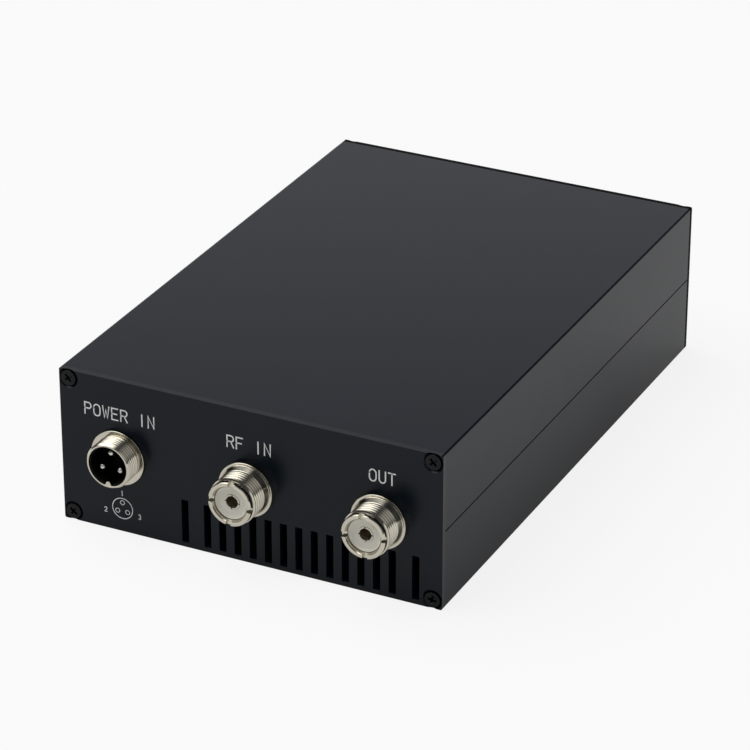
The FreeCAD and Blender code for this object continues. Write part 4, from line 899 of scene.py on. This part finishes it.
def pin_places():
    """Places of the inlet's pins about its axis, the first one on top."""
    turns = [math.radians(90 + 120 * i) for i in range(3)]
    return [(DC_PIN_CIRCLE * math.cos(turn), DC_PIN_CIRCLE * math.sin(turn)) for turn in turns]


def dc_insert():
    """The black insert with its liner, its key slot and a hole for each pin."""
    name = "dc_inlet_insulator"
    x, z = middle_of("dc_inlet_body")
    outer = DC_BORE - FIT_CLEARANCE
    inner = outer - DC_LINER
    front = DC_REACH - DC_LINER_SET_BACK
    rows = eased([(DC_FLOOR, 0), (DC_FLOOR, inner, ROUND_INNER), (front, inner, ROUND_FINE),
                  (front, outer, ROUND_FINE), (-DC_TAIL, outer, ROUND_TAIL), (-DC_TAIL, 0)], closed=False)
    half = DC_KEY_WIDTH / 2 + DC_KEY_CLEARANCE
    slot = block((-half, half), (-front - CUT_PAST, -DC_FLOOR),
                 (-DC_BORE - CUT_PAST, DC_KEY_HEIGHT + DC_KEY_CLEARANCE - DC_BORE))
    holes = []
    for across, up in pin_places():
        radius = DC_PIN + DC_PIN_CLEARANCE
        end = -DC_TAIL - CUT_PAST
        hole = revolved([(DC_PIN_CUT_PAST, 0), (DC_PIN_CUT_PAST, radius), (end, radius), (end, 0)],
                        PIN_HOLE_SEGMENTS)
        holes.append(moved(hole, Matrix.Translation((across, 0, up))))
    insert = carve(revolved(rows), [slot, merged(holes)])
    return flat_flats(finished(name + "_dressed", moved(insert, on_front(x, z)), "chassis",
                               "inlet_insert", [name]))


def dc_pins():
    """Three pins with round ends."""
    x, z = middle_of("dc_inlet_body")
    tip = DC_REACH - DC_PIN_SET_BACK
    rows = [(tip, 0)]
    for k in range(1, PIN_DOME_STEPS + 1):
        turn = math.pi / 2 * k / PIN_DOME_STEPS
        rows.append((tip - DC_PIN * (1 - math.cos(turn)), DC_PIN * math.sin(turn)))
    rows += [(-DC_TAIL - DC_PIN_TAIL, DC_PIN), (-DC_TAIL - DC_PIN_TAIL, 0)]
    pins = [moved(revolved(rows, PIN_SEGMENTS), on_front(x + across, z + up)) for across, up in pin_places()]
    piece = finished("dc_inlet_pins_dressed", merged(pins), "chassis", "nickel_plate", ["dc_inlet_pins"],
                     "pin_plate")
    # Painted shade: the shank behind the dome gets the dark copy of the plating.
    second_finish(piece, "pin_shank_painted_shade", lambda centre, normal: centre.y > front_y - tip + DC_PIN * SHANK_SHADE_START)
    return piece


# ---------------------------------------------------------------- markings
def arc(cx, cy, rx, ry, start, end, steps=10):
    """Points along part of an ellipse, in degrees."""
    points = []
    for k in range(steps + 1):
        turn = math.radians(start + (end - start) * k / steps)
        points.append((cx + rx * math.cos(turn), cy + ry * math.sin(turn)))
    return points


# Strokes of plain letters and numbers on a cell 4 wide and 6 high.
BOWL = [(0, 6)] + arc(2.5, 4.5, 1.5, 1.5, 90, -90) + [(0, 3)]
STROKES = {
    "P": [[(0, 0)] + BOWL],
    "R": [[(0, 0)] + BOWL, [(2.2, 3), (4, 0)]],
    "O": [arc(2, 4.1, 2, 1.9, 180, 0) + arc(2, 1.9, 2, 1.9, 0, -180) + [(0, 4.1)]],
    "W": [[(0, 6), (1, 0), (2, 4.2), (3, 0), (4, 6)]],
    "E": [[(3.8, 6), (0, 6), (0, 0), (3.8, 0)], [(0, 3.1), (3.1, 3.1)]],
    "F": [[(3.8, 6), (0, 6), (0, 0)], [(0, 3.1), (3.1, 3.1)]],
    "I": [[(2, 0), (2, 6)]],
    "N": [[(0.2, 0), (0.2, 6), (3.8, 0), (3.8, 6)]],
    "U": [[(0.1, 6)] + arc(2, 1.9, 1.9, 1.9, 180, 360) + [(3.9, 6)]],
    "T": [[(0, 6), (4, 6)], [(2, 6), (2, 0)]],
    "1": [[(0.9, 4.9), (2.2, 6), (2.2, 0)]],
    "2": [arc(2, 4.2, 1.8, 1.8, 165, -35) + [(0.2, 0), (3.9, 0)]],
    "3": [arc(1.9, 4.5, 1.6, 1.5, 140, -90) + arc(1.9, 1.5, 1.8, 1.5, 90, -140)],
    " ": [],
}


def ribbon(points, width, closed=False):
    """A thin raised line through (x, z) points, standing on the panel's face."""
    bm = bmesh.new()
    spots = [Vector(p) for p in points]
    count = len(spots)
    sides = []
    for i, spot in enumerate(spots):
        back = spot - spots[i - 1] if closed or i else spots[1] - spot
        on = spots[(i + 1) % count] - spot if closed or i < count - 1 else back
        along = (back.normalized() + on.normalized()).normalized()
        normal = Vector((-along.y, along.x))
        share = max(MITRE_LIMIT, normal.dot(Vector((-on.normalized().y, on.normalized().x))))
        reach = width / 2 / share
        cap = along * (width / 2) if not closed and i in (0, count - 1) else Vector((0, 0))
        spot = spot + (cap if i else -cap)
        sides.append((spot + normal * reach, spot - normal * reach))
    levels = []
    for y in (front_y, front_y - INK_PROUD):
        levels.append([[bm.verts.new((p.x, y, p.y)) for p in pair] for pair in sides])
    low, high = levels
    for i in range(count if closed else count - 1):
        j = (i + 1) % count
        bm.faces.new((high[i][0], high[j][0], high[j][1], high[i][1]))
        bm.faces.new((low[i][0], low[i][1], low[j][1], low[j][0]))
        bm.faces.new((low[i][0], low[j][0], high[j][0], high[i][0]))
        bm.faces.new((low[i][1], high[i][1], high[j][1], low[j][1]))
    if not closed:
        for i in (0, count - 1):
            bm.faces.new((low[i][0], high[i][0], high[i][1], low[i][1]))
    return bm


def word(text, middle_x, foot_z, height, line):
    """Ribbons for a word, centred on middle_x."""
    scale = height / LETTER_HEIGHT
    pitch = LETTER_PITCH * scale
    width = LETTER_WIDTH * scale - line
    tall = height - line
    start = middle_x - pitch * (len(text) - 1) / 2 - width / 2
    lines = []
    for i, letter in enumerate(text):
        for stroke in STROKES[letter]:
            points = [(start + i * pitch + px / CELL_WIDTH * width,
                       foot_z + line / 2 + pz / CELL_HEIGHT * tall) for px, pz in stroke]
            lines.append(ribbon(points, line))
    return lines


def circle(x, z, radius, line, steps):
    """A ring drawn on the panel."""
    return ribbon([(x + radius * math.cos(TURN * i / steps), z + radius * math.sin(TURN * i / steps))
                   for i in range(steps)], line, closed=True)


def markings():
    """Plain labels over the sockets and numbers round the drawing of the inlet's pins."""
    lines = []
    for text, node in (("POWER IN", "dc_inlet_body"), ("RF IN", "input_socket_body"),
                       ("OUT", "antenna_socket_body")):
        lines += word(text, middle_of(node)[0] + LETTER_SHIFT, LETTER_FOOT, LETTER_HEIGHT, LETTER_LINE)
    x, z = PINOUT_PLACE[0] - HALF_WIDTH, PINOUT_PLACE[1]
    lines.append(circle(x, z, PINOUT_RADIUS, PINOUT_LINE, RING_STEPS))
    for across, up in pin_places():
        lines.append(circle(x + across * PINOUT_PIN_SHARE, z + up * PINOUT_PIN_SHARE, PINOUT_HOLE,
                            PINOUT_LINE * PINOUT_THIN_SHARE, SMALL_RING_STEPS))
    for text, dx, dz in PINOUT_NUMBERS:
        lines += word(text, x + dx, z + dz, SMALL_HEIGHT, SMALL_LINE)
    return finished("markings", merged(lines), "chassis", None, finish="ink")


# ---------------------------------------------------------------- camera, light and floor
CAMERA_PLACE = (473.28, -976.51, 573.74)
CAMERA_AZIMUTH = math.radians(26.115)
CAMERA_ELEVATION = math.radians(27.031)
CAMERA_ROLL = math.radians(0.032)
CAMERA_LENS = 174.895
CAMERA_SENSOR = 36.0
# In metres.
CAMERA_CLIP = (0.05, 50.0)


def camera():
    """The camera at the photograph's place."""
    data = bpy.data.cameras.new("camera")
    data.sensor_width = CAMERA_SENSOR
    data.lens = CAMERA_LENS
    data.clip_start, data.clip_end = CAMERA_CLIP
    thing = bpy.data.objects.new("camera", data)
    bpy.context.scene.collection.objects.link(thing)
    across = Vector((math.cos(CAMERA_AZIMUTH), math.sin(CAMERA_AZIMUTH), 0))
    forward = Vector((-math.sin(CAMERA_AZIMUTH) * math.cos(CAMERA_ELEVATION),
                      math.cos(CAMERA_AZIMUTH) * math.cos(CAMERA_ELEVATION), -math.sin(CAMERA_ELEVATION)))
    up = across.cross(forward)
    axes = Matrix((across, up, -forward)).transposed().to_4x4()
    thing.matrix_world = (Matrix.Translation(Vector(CAMERA_PLACE) * MM) @ axes
                          @ Matrix.Rotation(CAMERA_ROLL, 4, "Z"))
    bpy.context.scene.camera = thing


# Where the white sweep of the surroundings fades in, as the Z, X and Y of a direction.
SWEEP_TOP = (0.56, 0.40)
SWEEP_SIDE = (0.32, -0.15)
SWEEP_BACK = (0.50, 0.66)
SWEEP_FULL = 0.8
ROOM_LEVEL = 0.07
# The floor: half its width in metres, its grey, its glow for the camera and its drop in millimetres.
FLOOR_SIZE = 6.0
FLOOR_GREY = 0.82
FLOOR_GLOW = 0.86
FLOOR_GAP = 0.1
# The floor's glow in the object's finish, near and far, lower near the object as painted shade,
# and the X or Y in metres where it changes beside, behind and ahead of the object.
GLOW_NEAR = 0.35
GLOW_FAR = 0.68
GLOW_BESIDE = (0.067, 0.113)
GLOW_BEHIND = (0.030, 0.125)
GLOW_AHEAD = (-0.101, -0.301)
# Soft lights: towards, the angles from its middle where it starts and stops fading, and its level.
SOFT_LIGHTS = (((-0.75, -0.15, 1.45), 19, 42, 2.75), ((0.65, -0.60, 0.47), 5, 30, 0.36))


def mapped(tree, value, low, high, eased_ends=True):
    """The value's place between low and high, from 0 to 1."""
    node = tree.nodes.new("ShaderNodeMapRange")
    node.interpolation_type = "SMOOTHSTEP" if eased_ends else "LINEAR"
    node.inputs["From Min"].default_value = low
    node.inputs["From Max"].default_value = high
    tree.links.new(value, node.inputs["Value"])
    return node.outputs["Result"]


def joined(tree, operation, first, second):
    """Two values put together by an operation; the second may be a plain number."""
    node = tree.nodes.new("ShaderNodeMath")
    node.operation = operation
    tree.links.new(first, node.inputs[0])
    if isinstance(second, float):
        node.inputs[1].default_value = second
    else:
        tree.links.new(second, node.inputs[1])
    return node.outputs["Value"]


def soft_light(tree, direction, towards, start_deg, stop_deg, level):
    """The level of a round soft light with a faded edge."""
    node = tree.nodes.new("ShaderNodeVectorMath")
    node.operation = "DOT_PRODUCT"
    node.inputs[1].default_value = Vector(towards).normalized()
    tree.links.new(direction, node.inputs[0])
    edge = (math.cos(math.radians(stop_deg)), math.cos(math.radians(start_deg)))
    return joined(tree, "MULTIPLY", mapped(tree, node.outputs["Value"], *edge), level)


def surroundings():
    """A white sweep behind and to the left and two soft lights in a dim room; white to the eye."""
    world = bpy.data.worlds.new("surroundings")
    bpy.context.scene.world = world
    world.use_nodes = True
    tree = world.node_tree
    tree.nodes.clear()
    out = tree.nodes.new("ShaderNodeOutputWorld")
    place = tree.nodes.new("ShaderNodeTexCoord")
    split = tree.nodes.new("ShaderNodeSeparateXYZ")
    tree.links.new(place.outputs["Generated"], split.inputs["Vector"])
    low = mapped(tree, split.outputs["Z"], *SWEEP_TOP)
    left = mapped(tree, split.outputs["X"], *SWEEP_SIDE)
    behind = mapped(tree, split.outputs["Y"], *SWEEP_BACK)
    sweep = joined(tree, "MULTIPLY", joined(tree, "MULTIPLY", low, left), behind)
    level = joined(tree, "ADD", joined(tree, "MULTIPLY", sweep, 1.0 - ROOM_LEVEL), ROOM_LEVEL)
    for soft in SOFT_LIGHTS:
        level = joined(tree, "ADD", level, soft_light(tree, place.outputs["Generated"], *soft))
    room = tree.nodes.new("ShaderNodeBackground")
    tree.links.new(level, room.inputs["Strength"])
    room.inputs["Color"].default_value = (1, 1, 1, 1)
    white = tree.nodes.new("ShaderNodeBackground")
    white.inputs["Color"].default_value = (1, 1, 1, 1)
    light = tree.nodes.new("ShaderNodeLightPath")
    mix = tree.nodes.new("ShaderNodeMixShader")
    mirrored = joined(tree, "MULTIPLY", light.outputs["Is Glossy Ray"], mapped(tree, sweep, SWEEP_FULL, 1.0))
    seen = joined(tree, "MAXIMUM", light.outputs["Is Camera Ray"], light.outputs["Is Transmission Ray"])
    seen = joined(tree, "MAXIMUM", seen, mirrored)
    tree.links.new(seen, mix.inputs["Fac"])
    tree.links.new(room.outputs["Background"], mix.inputs[1])
    tree.links.new(white.outputs["Background"], mix.inputs[2])
    tree.links.new(mix.outputs["Shader"], out.inputs["Surface"])


def mirrored_glow_with_painted_shade(tree):
    """How white the floor looks in the object's finish: its glow is lowered close to the object, a painted
    shade on top of the real shadow in its matt part.
    """
    place = tree.nodes.new("ShaderNodeTexCoord").outputs["Object"]
    split = tree.nodes.new("ShaderNodeSeparateXYZ")
    tree.links.new(place, split.inputs["Vector"])
    beside = joined(tree, "ABSOLUTE", split.outputs["X"], 0.0)
    beside = mapped(tree, beside, *GLOW_BESIDE, eased_ends=False)
    behind = mapped(tree, split.outputs["Y"], *GLOW_BEHIND)
    ahead = mapped(tree, split.outputs["Y"], *GLOW_AHEAD, eased_ends=False)
    away = joined(tree, "MAXIMUM", joined(tree, "MAXIMUM", beside, behind), ahead)
    return joined(tree, "ADD", joined(tree, "MULTIPLY", away, GLOW_FAR - GLOW_NEAR), GLOW_NEAR)


def floor():
    """A pale floor that shows white and keeps a faint shadow of the object, and is clear from below."""
    bm = bmesh.new()
    bmesh.ops.create_grid(bm, x_segments=1, y_segments=1, size=FLOOR_SIZE)
    mesh = bpy.data.meshes.new("floor")
    bm.to_mesh(mesh)
    bm.free()
    thing = bpy.data.objects.new("floor", mesh)
    bpy.context.scene.collection.objects.link(thing)
    thing.location.z = -FLOOR_GAP * MM
    material = bpy.data.materials.new("pale_floor")
    material.use_nodes = True
    tree = material.node_tree
    tree.nodes.clear()
    out = tree.nodes.new("ShaderNodeOutputMaterial")
    matt = tree.nodes.new("ShaderNodeBsdfDiffuse")
    matt.inputs["Color"].default_value = (FLOOR_GREY, FLOOR_GREY, FLOOR_GREY, 1)
    glow = tree.nodes.new("ShaderNodeEmission")
    glow.inputs["Color"].default_value = (1, 1, 1, 1)
    light = tree.nodes.new("ShaderNodeLightPath")
    mirrored = joined(tree, "MAXIMUM", light.outputs["Is Glossy Ray"], light.outputs["Is Transmission Ray"])
    # Painted shade: in the object's finish the floor's glow drops close to the object.
    glow_share = joined(tree, "MAXIMUM", joined(tree, "MULTIPLY", light.outputs["Is Camera Ray"], FLOOR_GLOW),
                        joined(tree, "MULTIPLY", mirrored, mirrored_glow_with_painted_shade(tree)))
    mix = tree.nodes.new("ShaderNodeMixShader")
    tree.links.new(glow_share, mix.inputs["Fac"])
    tree.links.new(matt.outputs["BSDF"], mix.inputs[1])
    tree.links.new(glow.outputs["Emission"], mix.inputs[2])
    clear = tree.nodes.new("ShaderNodeBsdfTransparent")
    side = tree.nodes.new("ShaderNodeNewGeometry")
    whole = tree.nodes.new("ShaderNodeMixShader")
    tree.links.new(side.outputs["Backfacing"], whole.inputs["Fac"])
    tree.links.new(mix.outputs["Shader"], whole.inputs[1])
    tree.links.new(clear.outputs["BSDF"], whole.inputs[2])
    tree.links.new(whole.outputs["Shader"], out.inputs["Surface"])
    mesh.materials.append(material)


# ---------------------------------------------------------------- the whole scene
dress_frame()
broken(front_panel())
broken(rear_panel())
screws()
uhf_body("input_socket_body", turn_deg=4)
uhf_body("antenna_socket_body", turn_deg=-5)
for socket in ("input_socket", "antenna_socket"):
    uhf_insulator(socket + "_insulator")
uhf_contact("input_socket_contact", turn_deg=3)
uhf_contact("antenna_socket_contact", turn_deg=-4)
dc_body()
dc_insert()
dc_pins()
markings()
camera()
surroundings()
floor()

bpy.context.scene.view_settings.view_transform = "Standard"
